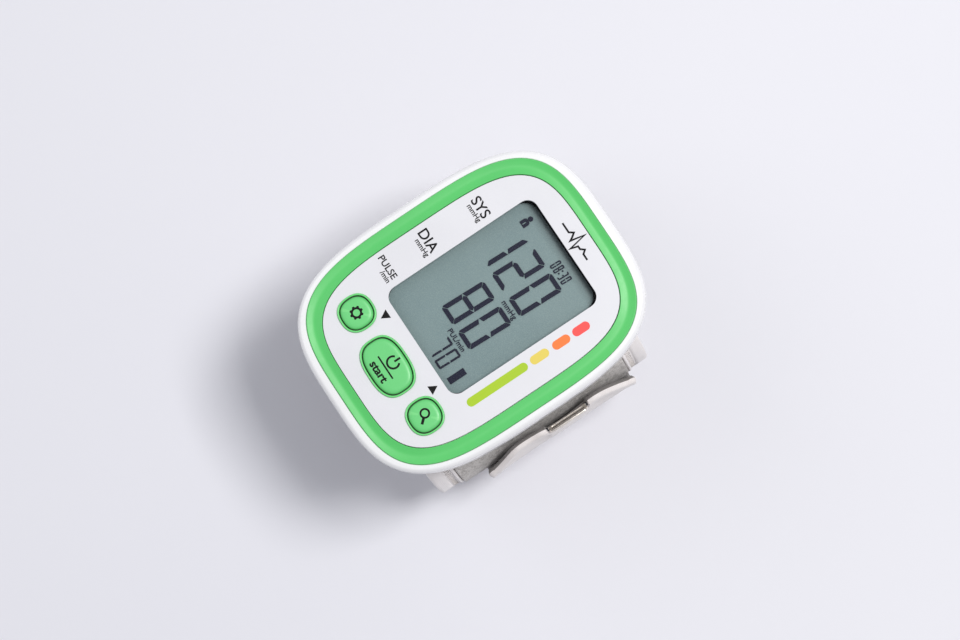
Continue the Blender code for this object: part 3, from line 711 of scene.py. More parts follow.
def make_housing_top():
    rim = (RING_OUTER[0] + SEAM, RING_OUTER[1] + SEAM, RING_OUTER[2])
    groove = superellipse(*rim)
    lip = superellipse(rim[0] + 0.00010, rim[1] + 0.00010, rim[2])
    rings = [(groove, DECK_TOP_Z), (groove, RIM_TOP_Z - 0.00012), (lip, RIM_TOP_Z)]
    shoulder = [(0.00145, RIM_TOP_Z - 0.00002, 3.55), (0.0010, 0.0708, 3.50),
                (0.0004, 0.0702, 3.45), (0.0001, 0.0692, BODY_POWER), (0.0, 0.0678, BODY_POWER),
                (0.0001, SPLIT_Z + 0.0002, BODY_POWER)]
    for inset, z, power in smooth_rows(shoulder, 5):
        rings.append((body_outline(inset, power), min(z, RIM_TOP_Z)))
    for inset, z in ((0.0003, SPLIT_Z), (UPPER_WALL, SPLIT_Z), (UPPER_WALL, 0.0665),
                     (UPPER_WALL + 0.0008, DECK_BOTTOM_Z)):
        rings.append((body_outline(inset), z))
    housing = loft("housing_top", rings)
    posts = [cylinder("post", 0.0027, x, y, 0.0560, 0.0690) for x, y in SCREWS]
    cut(housing, posts, "UNION")
    holes = [cylinder("pilot", 0.0012, x, y, 0.0550, 0.0665) for x, y in SCREWS]
    for name, outline in (("deck_window", rounded_at(WINDOW_Y, 0.0350, 0.0482, 0.0030)),
                          ("deck_pocket", rounded_at(KEYPAD_Y, 0.0436, 0.0142, 0.0048))):
        holes.append(plate(name, [outline], 0.066, 0.071))
    cut(housing, holes)
    place(housing, WHITE, MONITOR, "housing_white", "upper_housing")


LOWER_STATIONS = [(0.0003, SPLIT_Z - GAP), (0.0004, 0.0600), (0.0006, 0.0560), (0.0011, 0.0530),
                  (0.0018, 0.0505), (0.0026, 0.0485), (0.0034, 0.0468), (0.0042, 0.0455),
                  (0.0050, 0.0446), (0.0060, 0.0440)]


def lower_shell(name):
    inner = UPPER_WALL + GAP
    stations = [(LOWER_WALL + 0.0005, 0.0644), (inner, 0.0644), (inner, SPLIT_Z - GAP)]
    stations += smooth_rows(LOWER_STATIONS, 3)
    return loft(name, [(body_outline(inset), z) for inset, z in stations])


def cavity(name, shaped):
    stations = [(LOWER_WALL, 0.0660), (LOWER_WALL, 0.0560), (0.0040, 0.0500), (0.0066, 0.0456)]
    hollow = loft(name, [(body_outline(inset), z) for inset, z in stations])
    return cut(hollow, [loop_block("cavity_floor", -0.0019)]) if shaped else hollow


def loop_block(name, depth):
    outline = [tuple(loop_point(i / 160, depth)) for i in range(160)]
    return section(name, outline, -0.06, 0.06)


def door_block(clearance):
    return block("door_block", (-0.040, -0.0250 - clearance, 0.0488 - clearance),
                 (-0.0255, 0.0250 + clearance, 0.0606 + clearance))


def make_housing_bottom():
    housing = lower_shell("housing_bottom")
    cut(housing, [cavity("hollow", True), loop_block("seat", -GAP), door_block(GAP)])
    bosses, holes = [], []
    for x, y in SCREWS:
        floor_z = loop_point(turn_of_x(x), 0).y
        bosses.append(cylinder("boss", 0.0034, x, y, floor_z + 0.0009, 0.0557))
        holes.append(cylinder("hole", 0.0014, x, y, 0.045, 0.058))
        holes.append(cylinder("sink", 0.0026, x, y, 0.045, 0.0530))
    cut(housing, bosses, "UNION")
    holes.append(cylinder("port_hole", 0.0025, 0.0050, -0.0205, 0.046, 0.0545))
    holes += [cylinder("rivet_hole", 0.0018, 0, side * 0.0295, 0.046, 0.0545) for side in (-1, 1)]
    cut(housing, holes)
    soften(housing, 0.00012, 2)
    place(housing, WHITE_LOW, MONITOR, "housing_white", "lower_housing")


def door_face(height):
    """How far out the lower shell's battery side stands at a height."""
    rows = smooth_rows(LOWER_STATIONS, 3)
    for (inset, z), (next_inset, next_z) in zip(rows, rows[1:]):
        if min(z, next_z) <= height <= max(z, next_z) and z != next_z:
            return -(BODY_HALF[0] - inset - (next_inset - inset) * (height - z) / (next_z - z))
    raise ValueError("the battery door does not reach this height")


def make_battery_door():
    door = lower_shell("door_panel")
    cut(door, [cavity("door_hollow", False)])
    cut(door, [door_block(0.0)], "INTERSECT")
    low, high, outside, deep = 0.0518, 0.0548, -0.0360, 0.00045
    pitch, half_width = 0.0024, 0.0006
    groove = [(outside, low), (outside, high), (door_face(high) + deep, high),
              (door_face(low) + deep, low)]
    centres = [(index - 3) * pitch for index in range(7)]
    cut(door, [section("groove", groove, y - half_width, y + half_width) for y in centres])
    soften(door, 0.00015, 2)
    place(door, WHITE_LOW, "battery_door", "housing_white", "battery_door")


def make_trim_ring():
    """The ring's shallow channel, its outline changing from the outer to the inner shape."""
    crown = [(0.0, 0.0708), (0.012, 0.07118), (0.035, 0.07136), (0.07, 0.07140), (0.20, 0.07124),
             (0.50, 0.07100), (0.80, 0.07122), (0.93, 0.07136), (0.965, 0.07134), (0.99, 0.0711),
             (1.0, 0.0707)]
    profile = [(0.0, 0.0700)] + smooth_rows(crown, 4) + [(1.0, 0.0700)]
    rings = []
    for across, z in profile:
        outline = [o + (i - o) * across for o, i in zip(RING_OUTER, RING_INNER)]
        rings.append((superellipse(*outline, 256), z))
    place(loft("green_ring", rings, closed=True), GREEN, MONITOR, "ring_green", "trim_ring")


def button_outline(name, grow):
    (x, y), (half_x, half_y), power = BUTTONS[name]
    return shifted(superellipse(half_x + grow, half_y + grow, power, 96), x, y)


def make_face():
    edge = superellipse(RING_INNER[0] - FACE_GAP, RING_INNER[1] - FACE_GAP, RING_INNER[2])
    outlines = [edge, rounded_at(WINDOW_Y, *WINDOW)]
    outlines += [button_outline(name, CAP_GAP + COLLAR_WALL + SEAM) for name in BUTTONS]
    panel = plate("front_panel", outlines, PANEL_LOW.z, FACE_TOP)
    soften(panel, 0.00018, 3)
    place(panel, PANEL, MONITOR, "panel_white", "face_panel")


def make_gap_shade():
    """A black lip at the bottom of the gap round each cap, put there as painted shade to darken
    the gap.
    """
    lips = []
    for name in BUTTONS:
        outlines = [button_outline(name, CAP_GAP - SEAM / 2), button_outline(name, SEAM / 2)]
        lips.append(plate("lip", outlines, 0.0700, 0.0709))
    place(merged("keypad_gap_shade", lips), RUBBER, MONITOR, "rubber_black")


def make_keypad():
    """The frame under the panel with its three collars, and the caps that travel in them."""
    edge = rounded_at(KEYPAD_Y, 0.0430, 0.0136, 0.0045)
    holes = [button_outline(name, CAP_GAP + COLLAR_WALL / 2) for name in BUTTONS]
    pieces = [plate("keypad_base", [edge] + holes, DECK_BOTTOM_Z, DECK_TOP_Z)]
    for name in BUTTONS:
        outer = CAP_GAP + COLLAR_WALL
        section_points = [(outer, 0.0683), (outer, 0.0715), (outer - 0.00006, 0.07168),
                          (outer - 0.0002, COLLAR_TOP_Z), (CAP_GAP + 0.00018, COLLAR_TOP_Z),
                          (CAP_GAP + 0.00005, 0.0717), (CAP_GAP, 0.0715), (CAP_GAP, 0.0683)]
        rings = [(button_outline(name, grow), z) for grow, z in section_points]
        pieces.append(loft("collar", rings, closed=True))
    place(merged("keypad", pieces), COLLAR, MONITOR, "collar_green", "keypad_frame")
    for name in BUTTONS:
        top = [(0.0, 0.0711), (-0.00004, 0.0714), (-0.00020, 0.07172), (-0.00050, 0.07195),
               (-0.0010, 0.07207), (-0.0017, CAP_TOP_Z), (-0.0024, CAP_TOP_Z)]
        stations = [(0.0008, 0.0669), (0.0008, 0.0677), (0.0, 0.0677)] + smooth_rows(top, 3)
        rings = [(button_outline(name, grow), min(z, CAP_TOP_Z)) for grow, z in stations]
        cap = loft(f"{name}_cap", rings)
        place(cap, KEY, f"{name}_button", "key_green", f"{name}_button")


# Marks ------------------------------------------------------------------------------------

def letters(name, text, size, bottom, z, right=None, centre=None, stretch=1.0, bold=0.0):
    """Printed lettering, set by its right edge or its centre and its base line."""
    curve = bpy.data.curves.new(name, "FONT")
    curve.body = text
    curve.size = size
    curve.offset = bold
    curve.resolution_u = 6
    curve.fill_mode = "BOTH"
    curve.extrude = INK / 2
    curve.align_x = "LEFT"
    obj = from_curve(name, curve)
    xs = [vert.co.x for vert in obj.data.vertices]
    low, high = min(xs) * stretch, max(xs) * stretch
    x = right - high if right is not None else centre - (low + high) / 2
    for vert in obj.data.vertices:
        vert.co = (vert.co.x * stretch + x, vert.co.y + bottom, vert.co.z + z)
    return obj


def stroke(points, width):
    """The outline of a line of a given width through flat points, mitred at its corners."""
    path = [Vector(point) for point in points]
    left, right = [], []
    for i, point in enumerate(path):
        before = (point - path[i - 1]).normalized() if i else None
        after = (path[i + 1] - point).normalized() if i + 1 < len(path) else before
        before = before or after
        along = (before + after).normalized()
        reach = width / 2 / max(0.3, along.dot(after))
        side = Vector((-along.y, along.x)) * reach
        left.append(tuple(point + side))
        right.append(tuple(point - side))
    return [left + right[::-1]]


def mark(name, outlines, x, y, z):
    return plate(name, [shifted(outline, x, y) for outline in outlines], z - INK / 2, z + INK / 2)


def make_panel_print():
    z = FACE_TOP + INK * 0.7
    edge = -0.0182
    labels = [("SYS", 0.00400, 0.0158), ("mmHg", 0.00196, 0.0142), ("DIA", 0.00400, -0.0004),
              ("mmHg", 0.00196, -0.0021), ("PULSE", 0.00262, -0.0126), ("/min", 0.00196, -0.0143)]
    pieces = [letters(f"label_{index}", text, size, bottom, z, right=edge,
                      bold=0.000025 + size * 0.006)
              for index, (text, size, bottom) in enumerate(labels)]
    for x, way in ((-0.0114, -1), (0.0114, 1)):
        tip = [(-0.0013, -0.0010 * way), (0.0013, -0.0010 * way), (0.0, 0.0013 * way)]
        pieces.append(mark("arrow", [tip], x, -0.0193, z))
    trace = [(-0.0058, 0.0), (-0.0029, 0.0), (-0.0021, 0.0011), (-0.0013, 0.0), (-0.0008, -0.0009),
             (0.0, 0.0030), (0.0009, -0.0020), (0.0015, 0.0), (0.0024, 0.0), (0.0032, 0.0010),
             (0.0040, 0.0), (0.0058, 0.0)]
    pieces.append(mark("pulse_trace", stroke(trace, 0.00050), 0.0, 0.0325, z))
    place(merged("panel_print", pieces), INK_BLACK, MONITOR, "panel_white")

    spans = {"red": (0.01866, 0.0237), "orange": (0.0124, 0.0176), "yellow": (0.0055, 0.0110),
             "lime": (-0.0142, 0.0044)}
    for colour, (low, high) in spans.items():
        outline = rounded_rectangle(0.0024, high - low, 0.00119)
        pill = mark(f"pill_{colour}", [outline], 0.0198, (low + high) / 2, z)
        place(pill, PILLS[colour], MONITOR, "panel_white")


def make_icons():
    """A cog, a power sign and the word under it, and a magnifier, each on its own cap."""
    z = CAP_TOP_Z - INK * 0.4
    teeth = []
    for step in range(96):
        angle = 2 * math.pi * step / 96
        bulge = 1 / (1 + math.exp(-6 * math.cos(8 * angle)))
        radius = 0.00148 + 0.00036 * bulge
        teeth.append((radius * math.cos(angle), radius * math.sin(angle)))
    x, y = BUTTONS["settings"][0]
    cog = mark("icon_settings", [teeth, circle(0.00092)], x, y, z)
    place(cog, INK_BLACK, "settings_button", "key_green")

    x, y = BUTTONS["start"][0]
    pieces = [mark("arc", stroke(circle(0.00160, 40, 0.11, 0.89), 0.00054), x, y + 0.00178, z),
              mark("bar", stroke([(0, 0.0004), (0, 0.0022)], 0.00054), x, y + 0.00178, z),
              mark("line", stroke([(-0.0035, 0), (0.0035, 0)], 0.00044), x, y - 0.00062, z),
              letters("word", "start", 0.0031, y - 0.00365, z, centre=x, stretch=1.06,
                      bold=0.00010)]
    place(merged("icon_start", pieces), INK_BLACK, "start_button", "key_green")

    x, y = BUTTONS["memory"][0]
    glass = (x - 0.0005, y + 0.0004)
    pieces = [mark("glass", [circle(0.00140), circle(0.00088)], *glass, z),
              mark("handle", stroke([(0.00085, -0.00092), (0.0020, -0.0022)], 0.00074), *glass, z)]
    place(merged("icon_memory", pieces), INK_BLACK, "memory_button", "key_green")


# Display ----------------------------------------------------------------------------------

SEGMENTS = {"0": "abcdef", "1": "bc", "2": "abged", "3": "abgcd", "7": "abc", "8": "abcdefg"}
SLANT = 0.032


def segment_outlines(char, width, height, thick):
    """Mitred bars of a seven-segment digit, its lower left corner at the origin."""
    w, h, t = width, height, thick
    m, g, c = height / 2, thick * 0.05, thick * 0.52
    n, k = c / 2, thick * 0.5
    bars = {
        "a": [(n + g, h - n + g), (c + g, h), (w - c - g, h), (w - n - g, h - n + g),
              (w - t - g, h - t + g), (t + g, h - t + g)],
        "f": [(n - g, h - n - g), (0, h - c - g), (0, m + g), (k - g, m + k * 0.55),
              (t, m + k + g), (t, h - t - g)],
        "e": [(0, m - g), (0, c + g), (n - g, n + g), (t, t + g), (t, m - k - g),
              (k - g, m - k * 0.55)],
        "g": [(k, m), (t, m + k), (w - t, m + k), (w - k, m), (w - t, m - k), (t, m - k)],
    }
    bars["d"] = [(x, h - y) for x, y in bars["a"]]
    bars["b"] = [(w - x, y) for x, y in bars["f"]]
    bars["c"] = [(w - x, y) for x, y in bars["e"]]
    return [bars[key] for key in SEGMENTS[char]]


def digits(text, right, bottom, width, height, thick, step, z):
    """A row of digits that ends at the right edge; a colon takes half a step."""
    pieces, x = [], right - width
    for char in reversed(text):
        if char == ":":
            middle = x + width + (step - width) / 2 - step * 0.22
            for level in (0.3, 0.68):
                dot = rounded_rectangle(thick * 1.2, thick * 1.2, thick * 0.3, 3)
                pieces.append(mark("dot", [dot], middle, bottom + height * level, z))
            x -= step * 0.45
            continue
        for outline in segment_outlines(char, width, height, thick):
            leaning = [(px + SLANT * py, py) for px, py in outline]
            pieces.append(mark("bar", [leaning], x, bottom, z))
        x -= step
    return pieces


def make_display():
    z = LCD_TOP + 0.00022
    big = (0.00585, 0.0131, 0.00128)
    pieces = digits("120", 0.00825, 0.00980, *big, 0.00785, z)
    pieces += digits("80", 0.00815, -0.00600, *big, 0.00785, z)
    pieces += digits("70", 0.00800, -0.01525, 0.00270, 0.00660, 0.00058, 0.00375, z)
    pieces += digits("08:30", 0.00735, 0.02355, 0.00102, 0.00320, 0.00036, 0.00144, z)
    pieces.append(letters("unit_1", "mmHg", 0.0021, 0.0078, z, right=0.0079, bold=0.00003))
    pieces.append(letters("unit_2", "PUL/min", 0.0020, -0.0080, z, right=0.0074, bold=0.00003))
    pieces.append(mark("bar", [rounded_rectangle(0.0019, 0.0051, 0.0001, 2)], 0.0119, -0.0125, z))
    x, y = -0.0117, 0.0252
    body = [(-0.00105, -0.0017), (0.00105, -0.0017), (0.00105, -0.0002), (0.0007, 0.0004),
            (-0.0007, 0.0004), (-0.00105, -0.0002)]
    numeral = stroke([(0.0, -0.0014), (0.0, -0.0003)], 0.00028)
    pieces.append(mark("head", [circle(0.0007)], x, y + 0.00115, z))
    pieces.append(mark("torso", [body] + numeral, x, y, z))
    place(merged("lcd_segments", pieces), SEGMENT, MONITOR, "lcd")
    # Painted shadow: a black foam frame under the window, set off-centre so a dark band shows only
    # along its +Y and +X edges, where the recess shadow falls.
    outer = rounded_at(WINDOW_Y, 0.0342, 0.0474, 0.0030)
    inner = shifted(rounded_rectangle(0.0329, 0.0461, 0.0040), -0.00024, WINDOW_Y - 0.00042)
    shadow_gasket = plate("lcd_shadow_gasket", [outer, inner], LCD_TOP + 0.00012, 0.0685)
    place(shadow_gasket, SHADOW_FOAM, MONITOR, "rubber_black")


# Cuff -------------------------------------------------------------------------------------

def tape_profile(y_edge, way):
    """A tape folded round the edge of the layers: outside, over the edge and back inside."""
    w, proud = TAPE_WIDTH, 0.00022
    outer = [(w, -proud + 0.00018), (w - 0.00015, -proud), (w * 0.7, -proud - 0.00002),
             (w * 0.3, -proud), (0.00035, -proud + 0.00003), (0.00004, 0.0001),
             (-0.00018, 0.0010), (-0.00036, 0.0029), (-0.00028, 0.0043), (0.00012, 0.0053),
             (0.0006, 0.0059), (w * 0.3, 0.0062), (w * 0.7, 0.00625), (w - 0.0002, 0.0062),
             (w, 0.00595)]
    inner = [(w - 0.0001, 0.0052), (0.0012, 0.0050), (0.0009, 0.0029), (0.0012, 0.0009),
             (w - 0.0001, 0.0006)]
    return [(y_edge + way * y, depth) for y, depth in outer + inner]


def ladder(name, start, end, y0, y1):
    """Two rows of thread with short rungs between them, as an overlock seam shows."""
    count = max(2, int((end - start) * LOOP_LENGTH / STITCH_PITCH))
    pieces = []
    for index in range(count):
        corners = [(0.0, y0), (0.45, y0), (0.5, y1), (0.95, y1), (1.0, y0)]
        points = []
        for share, y in corners:
            spot = loop_point(start + (end - start) * (index + share) / count, STITCH_DEPTH)
            points.append((spot.x, y, spot.y))
        pieces.append(wire("ladder", points, 0.00010, resolution=1))
    return merged(name, pieces, SOFT_ANGLE)


def end_binding(name, turn, way, seed):
    """A narrow tape folded over a cut end of the cuff, from edge to edge."""
    reach = 0.0013
    fold = [(-reach, -0.00026), (-0.0006, -0.00032), (0.0, 0.0001), (0.00022, 0.0012),
            (0.00026, 0.0030), (0.00022, 0.0048), (0.0, 0.0059), (-0.0006, 0.0063),
            (-reach, 0.0062), (-reach, 0.0055), (-0.0007, 0.0050), (-0.0005, 0.0030),
            (-0.0007, 0.0009), (-reach, 0.0003)]
    rows, columns = [], 70
    for j in range(columns + 1):
        y = CUFF_Y[0] + 0.0002 + (CUFF_Y[1] - CUFF_Y[0] - 0.0004) * j / columns
        row = []
        for index, (along, depth) in enumerate(smooth_rows(fold + fold[:1], 2)[:-1]):
            lift = 0.00006 * noise.noise(Vector((y * 400, along * 900 + seed, depth * 600)))
            spot = loop_point(turn + way * along / LOOP_LENGTH, depth - lift)
            row.append(((spot.x, y, spot.y), (index * 0.0004, y, seed)))
        rows.append(row)
    return cloth_tube(name, rows)


def cuff_band(name, start, end, count, depths, groove=(), inset=0.0009, seed=0.0, wrinkle=0.0001):
    y0, y1 = CUFF_Y
    profile = slab_profile(y0 + inset, y1 - inset, *depths, 48, groove=groove)
    return sweep(name, start, end, count, profile, wrinkle, seed)


def sew_edges(kind, tape_span, steps, seed, tape_body, row_span, row_body):
    """The tape along each edge of an arm and the stitching that holds it."""
    sewn_on = []
    for side, edge, way in (("elbow", CUFF_Y[0], 1), ("hand", CUFF_Y[1], -1)):
        tape = sweep(f"{kind}_tape_{side}", *tape_span, steps, tape_profile(edge, way),
                     TAPE_WRINKLE, way * seed)
        place(tape, NYLON, tape_body, "nylon")
        if tape_body is None:
            across_arm(tape)
        y0, y1 = (edge + way * offset for offset in STITCH_ROWS)
        row = ladder(f"{kind}_stitch_{side}", *row_span, y0, y1)
        place(row, THREAD, row_body, "nylon")
        sewn_on += [tape, row]
    return sewn_on


def make_long_arm():
    """Cover, lining and edge tapes from the lower right, under the wrist, to the housing."""
    end = 1 + ARM_HIDDEN
    seams = [CUFF_Y[0] + TAPE_WIDTH + 0.0012, CUFF_Y[1] - TAPE_WIDTH - 0.0012]
    cover = cuff_band("cuff_cloth", COVER_START, end, 220, COVER, seams, seed=3.0)
    place(cover, NYLON_COVER, MONITOR, "nylon", "cuff_cover")
    lining = cuff_band("lining_cloth", COVER_START, end, 200, LINING, seed=9.0, wrinkle=0.0002)
    place(lining, LINING_CLOTH, MONITOR, "lining_grey", "cuff_lining")
    sewn_on = sew_edges("edge", (COVER_START, end), 220, 5.0, MONITOR, (COVER_START, end - 0.02),
                        MONITOR)
    binding = end_binding("binding_lower", COVER_START, -1, 2.0)
    sewn_on.append(place(binding, NYLON, MONITOR, "nylon"))


def across_arm(piece):
    """Bake a cloth piece of the right arm's placement into its mesh."""
    x, y, z = JOINTS["arm_flex"]["pos_m"]
    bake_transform(piece)


def make_right_arm():
    cover = cuff_band("arm_cloth", ARM_HIDDEN, ARM_END, 60, COVER, seed=12.0)
    place(cover, NYLON, None, "nylon", "arm_cover")
    across_arm(cover)
    lining = cuff_band("arm_lining_cloth", ARM_HIDDEN, ARM_END, 60, LINING, seed=15.0,
                       wrinkle=0.0002)
    place(lining, LINING_CLOTH, None, "lining_grey", "arm_lining")
    across_arm(lining)
    sewn_on = sew_edges("arm", (ARM_HIDDEN, ARM_END), 60, 8.0, None, (ARM_SHOWN, ARM_END),
                        "right_arm")
    binding = end_binding("binding_arm", ARM_END, 1, 7.0)
    sewn_on.append(place(binding, NYLON, "right_arm", "nylon"))


def make_pile():
    """The loop-pile panel: a fine tufted skin over a thin backing."""
    y0 = PIPING_Y[0] + PIPING_RADIUS + 0.0002
    y1 = PIPING_Y[1] - PIPING_RADIUS - 0.0002
    profile = slab_profile(y0, y1, -0.0011, -0.0002, 190, 0.0002)
    pile = sweep("pile_panel", ARM_SHOWN, PILE_END, 84, profile, 0.0, 21.0)
    for vert in pile.data.vertices:
        tuft = noise.noise(vert.co * 2600) * 0.6 + noise.noise(vert.co * 1100) * 0.5
        out = Vector((vert.co.x, 0, vert.co.z - LOOP_CENTRE_Z)).normalized()
        vert.co += out * tuft * 0.00022
    place(pile, PILE, "right_arm", "loop_pile", "arm_pile")


def make_piping():
    for side, y in zip(("elbow", "hand"), PIPING_Y):
        points = []
        for i in range(61):
            turn = ARM_SHOWN + (PILE_END - ARM_SHOWN) * i / 60
            spot = loop_point(turn, -PIPING_RADIUS * 0.6)
            points.append((spot.x, y + 0.00006 * math.sin(i * 1.3), spot.y))
        cord = wire(f"piping_cord_{side}", points, PIPING_RADIUS)
        add_cloth(cord)
        place(cord, NYLON, "right_arm", "nylon", f"piping_{side}")


def add_cloth(obj):
    """Cloth coordinates for a piece that was not swept: height and width."""
    layer = obj.data.attributes.new("cloth", "FLOAT_VECTOR", "POINT")
    for index, vert in enumerate(obj.data.vertices):
        layer.data[index].vector = (vert.co.z, vert.co.y, vert.co.x)


# Closure strap ----------------------------------------------------------------------------

STRAP_BASE_TURN = turn_at_height(0.0036)
STRAP_LEAVE_TURN = turn_at_height(0.0280)
STRAP_FREE = [(0.0370, 0.0310), (0.0366, 0.0345), (0.0361, 0.0375), (0.0358, 0.0400),
              (0.0356, 0.0420)]
STRAP_ROWS = 90
STRAP_HALF = 0.00075
HEM_EXTRA = 0.00042
HEM_SEAM = 0.0050
SIDE_SEAM = 0.0022
SEAM_SINK = 0.00016
FREE_WAVE = 0.00038
WRINKLE = 0.00024


def smoothstep(value, low, high):
    value = min(1.0, max(0.0, (value - low) / (high - low)))
    return value * value * (3 - 2 * value)


def strap_line():
    """The middle of the strap's thickness in XZ, from its sewn end to its hem."""
    rows = []
    for step in range(31):
        t = step / 30
        turn = STRAP_BASE_TURN + (STRAP_LEAVE_TURN - STRAP_BASE_TURN) * t
        ease = smoothstep(loop_point(turn, 0).y, 0.0086, 0.0144)
        rows.append(tuple(loop_point(turn, -0.0012 - 0.0022 * ease)))
    rows = [Vector(row) for row in rows + smooth_rows([rows[-1]] + STRAP_FREE, 6)[1:]]
    lengths = [0.0]
    for before, after in zip(rows, rows[1:]):
        lengths.append(lengths[-1] + (after - before).length)
    line, index = [], 0
    for step in range(STRAP_ROWS + 1):
        goal = lengths[-1] * step / STRAP_ROWS
        while index < len(rows) - 2 and lengths[index + 1] < goal:
            index += 1
        share = (goal - lengths[index]) / max(1e-9, lengths[index + 1] - lengths[index])
        line.append(rows[index].lerp(rows[index + 1], share))
    return line, lengths[-1]


def from_side(y):
    """How far y is from the strap's nearer side."""
    return min(y - STRAP_Y[0], STRAP_Y[1] - y)


def strap_reach(y):
    """How far short of the hem's longest point the strap ends at y."""
    edge = from_side(y)
    short = 0.0072 * (1 - smoothstep(edge, 0.0004, 0.0125)) ** 1.3
    corner = max(0.0, 0.0022 - edge) / 0.0022
    short += 0.0018 * (1 - math.sqrt(max(0.0, 1 - corner * corner)))
    notch = abs(y - RING_Y)
    depth = 0.0030 * (1 - smoothstep(notch, NOTCH_HALF - 0.0003, NOTCH_HALF + 0.0005))
    bulge = 0.0005 * math.exp(-((notch - NOTCH_HALF - 0.0022) / 0.0016) ** 2)
    return short + depth - bulge


def strap_columns():
    low, high = STRAP_Y
    columns = [low + (high - low) * i / 96 for i in range(97)]
    for side in (-1, 1):
        base = RING_Y + side * NOTCH_HALF
        columns += [base + side * 0.0001 * k for k in range(-5, 8)]
    return sorted(set(round(y, 6) for y in columns))


def strap_vertex(line, length, row, y, side):
    """A place on the strap's outer (1) or inner (-1) face, and its cloth coordinates."""
    along = (length - strap_reach(y)) * row / STRAP_ROWS
    spot = along / length * (len(line) - 1)
    k = min(int(spot), len(line) - 2)
    centre = line[k].lerp(line[k + 1], spot - k)
    tangent = (line[min(k + 2, len(line) - 1)] - line[max(k - 1, 0)]).normalized()
    out = Vector((tangent.y, -tangent.x))
    to_end = length - strap_reach(y) - along
    border = min(from_side(y), to_end, along + 0.0002)
    half = STRAP_HALF + HEM_EXTRA * smoothstep(0.0046 - to_end, 0.0, 0.0012)
    half *= math.sqrt(min(1.0, max(0.02, border / 0.0006)))
    sewn = math.exp(-((to_end - HEM_SEAM) / 0.00035) ** 2)
    sewn += math.exp(-((from_side(y) - SIDE_SEAM) / 0.0003) ** 2)
    half -= SEAM_SINK * min(1.0, sewn)
    free = smoothstep(along, length * 0.45, length)
    wave = FREE_WAVE * free * math.sin(y * 260 + 0.6) + WRINKLE * noise.noise(
        Vector((along * 120, y * 90, 4.0)))
    centre += out * (side * half + wave)
    return (centre.x, y, centre.y), (along, y, side)


def make_strap():
    """The strap as a thick cloth: a grid on both faces, joined and rounded at its border."""
    line, length = strap_line()
    columns = strap_columns()
    bm, made = cloth_vertices([[strap_vertex(line, length, i, y, side) for y in columns]
                               for side in (1, -1) for i in range(STRAP_ROWS + 1)])
    front, back = made[:STRAP_ROWS + 1], made[STRAP_ROWS + 1:]
    last = len(columns) - 1
    for grid in (front, back):
        for i in range(STRAP_ROWS):
            for j in range(last):
                bm.faces.new((grid[i][j], grid[i][j + 1], grid[i + 1][j + 1], grid[i + 1][j]))
    for i in range(STRAP_ROWS):
        for j in (0, last):
            bm.faces.new((front[i][j], front[i + 1][j], back[i + 1][j], back[i][j]))
    for j in range(last):
        for i in (0, STRAP_ROWS):
            bm.faces.new((front[i][j], front[i][j + 1], back[i][j + 1], back[i][j]))
    strap = add_mesh("strap_cloth", bm, 75, 1e-9)
    place(strap, STRAP_CLOTH, None, "nylon", "closure_strap", "strap_base")
    x, y, z = JOINTS["strap_open"]["pos_m"]
    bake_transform(strap)


def make_hook_patch():
    start, end = turn_at_height(0.0160), turn_at_height(0.0285)
    profile = slab_profile(STRAP_Y[0] + 0.004, STRAP_Y[1] - 0.004, -0.0022, -0.00145, 60, 0.0002)
    patch = sweep("hook_pad", start, end, 30, profile, 0.00004, 31.0)
    place(patch, HOOK_CLOTH, "closure_strap", "hook_tape", "hook_patch")


def make_pull_ring():
    (px, pz), (tx, tz) = RING_PIVOT, RING_TIP
    height, half, corner = math.hypot(tx - px, tz - pz), 0.0057, 0.0010
    loop = []
    for index, (sy, su) in enumerate([(1, -1), (1, 1), (-1, 1), (-1, -1)]):
        for step in range(9):
            angle = math.pi / 2 * (index + step / 8) - math.pi / 2
            along = sy * (half - corner) + corner * math.cos(angle)
            rise = (height - corner if su > 0 else corner) + corner * math.sin(angle)
            share = rise / height
            loop.append((px + (tx - px) * share, RING_Y + along, pz + (tz - pz) * share))
    ring = wire("ring_loop", loop, RING_WIRE, True, 6)
    reach = NOTCH_HALF + 0.0020
    bar_ends = [(px, RING_Y + side * reach, pz) for side in (-1, 1)]
    bar = wire("ring_bar", bar_ends, RING_WIRE, False, 6)

    def leaf(name, low, high, thick):
        """A flat strip inside the ring between two shares of its height."""
        side = Vector((tz - pz, px - tx)).normalized() * thick
        corners = [Vector((px + (tx - px) * share, pz + (tz - pz) * share))
                   for share in (low, high)]
        outline = [corners[0] + side, corners[1] + side, corners[1] - side, corners[0] - side]
        return section(name, [tuple(corner) for corner in outline], RING_Y - half, RING_Y + half)

    metal_parts = [ring, bar, leaf("ring_leaf", 0.0, 1.0, 0.00012)]
    place(merged("ring_wire", metal_parts, SOFT_ANGLE), CHROME, "pull_ring", "chrome", "pull_ring")
    # Painted shade: a black strip between the ring's two wires stands in for the dark gap seen
    # through them.
    place(leaf("ring_slit_shade", 0.44, 0.55, 0.00015), BLACK, "pull_ring", "chrome")
    # Painted reflections: a small black collar at each end of the bar stands in for the dark
    # reflections of the wire's bends.
    for end, side in (("low", -1), ("high", 1)):
        spots = [(px, RING_Y + side * (half + reach), pz) for reach in (0.0004, 0.0011)]
        dark_reflection = wire(f"ring_eyelet_{end}", spots, RING_WIRE * 1.5, False, 6)
        place(dark_reflection, BLACK, "pull_ring", "chrome")


# Everything kept from the frame -----------------------------------------------------------

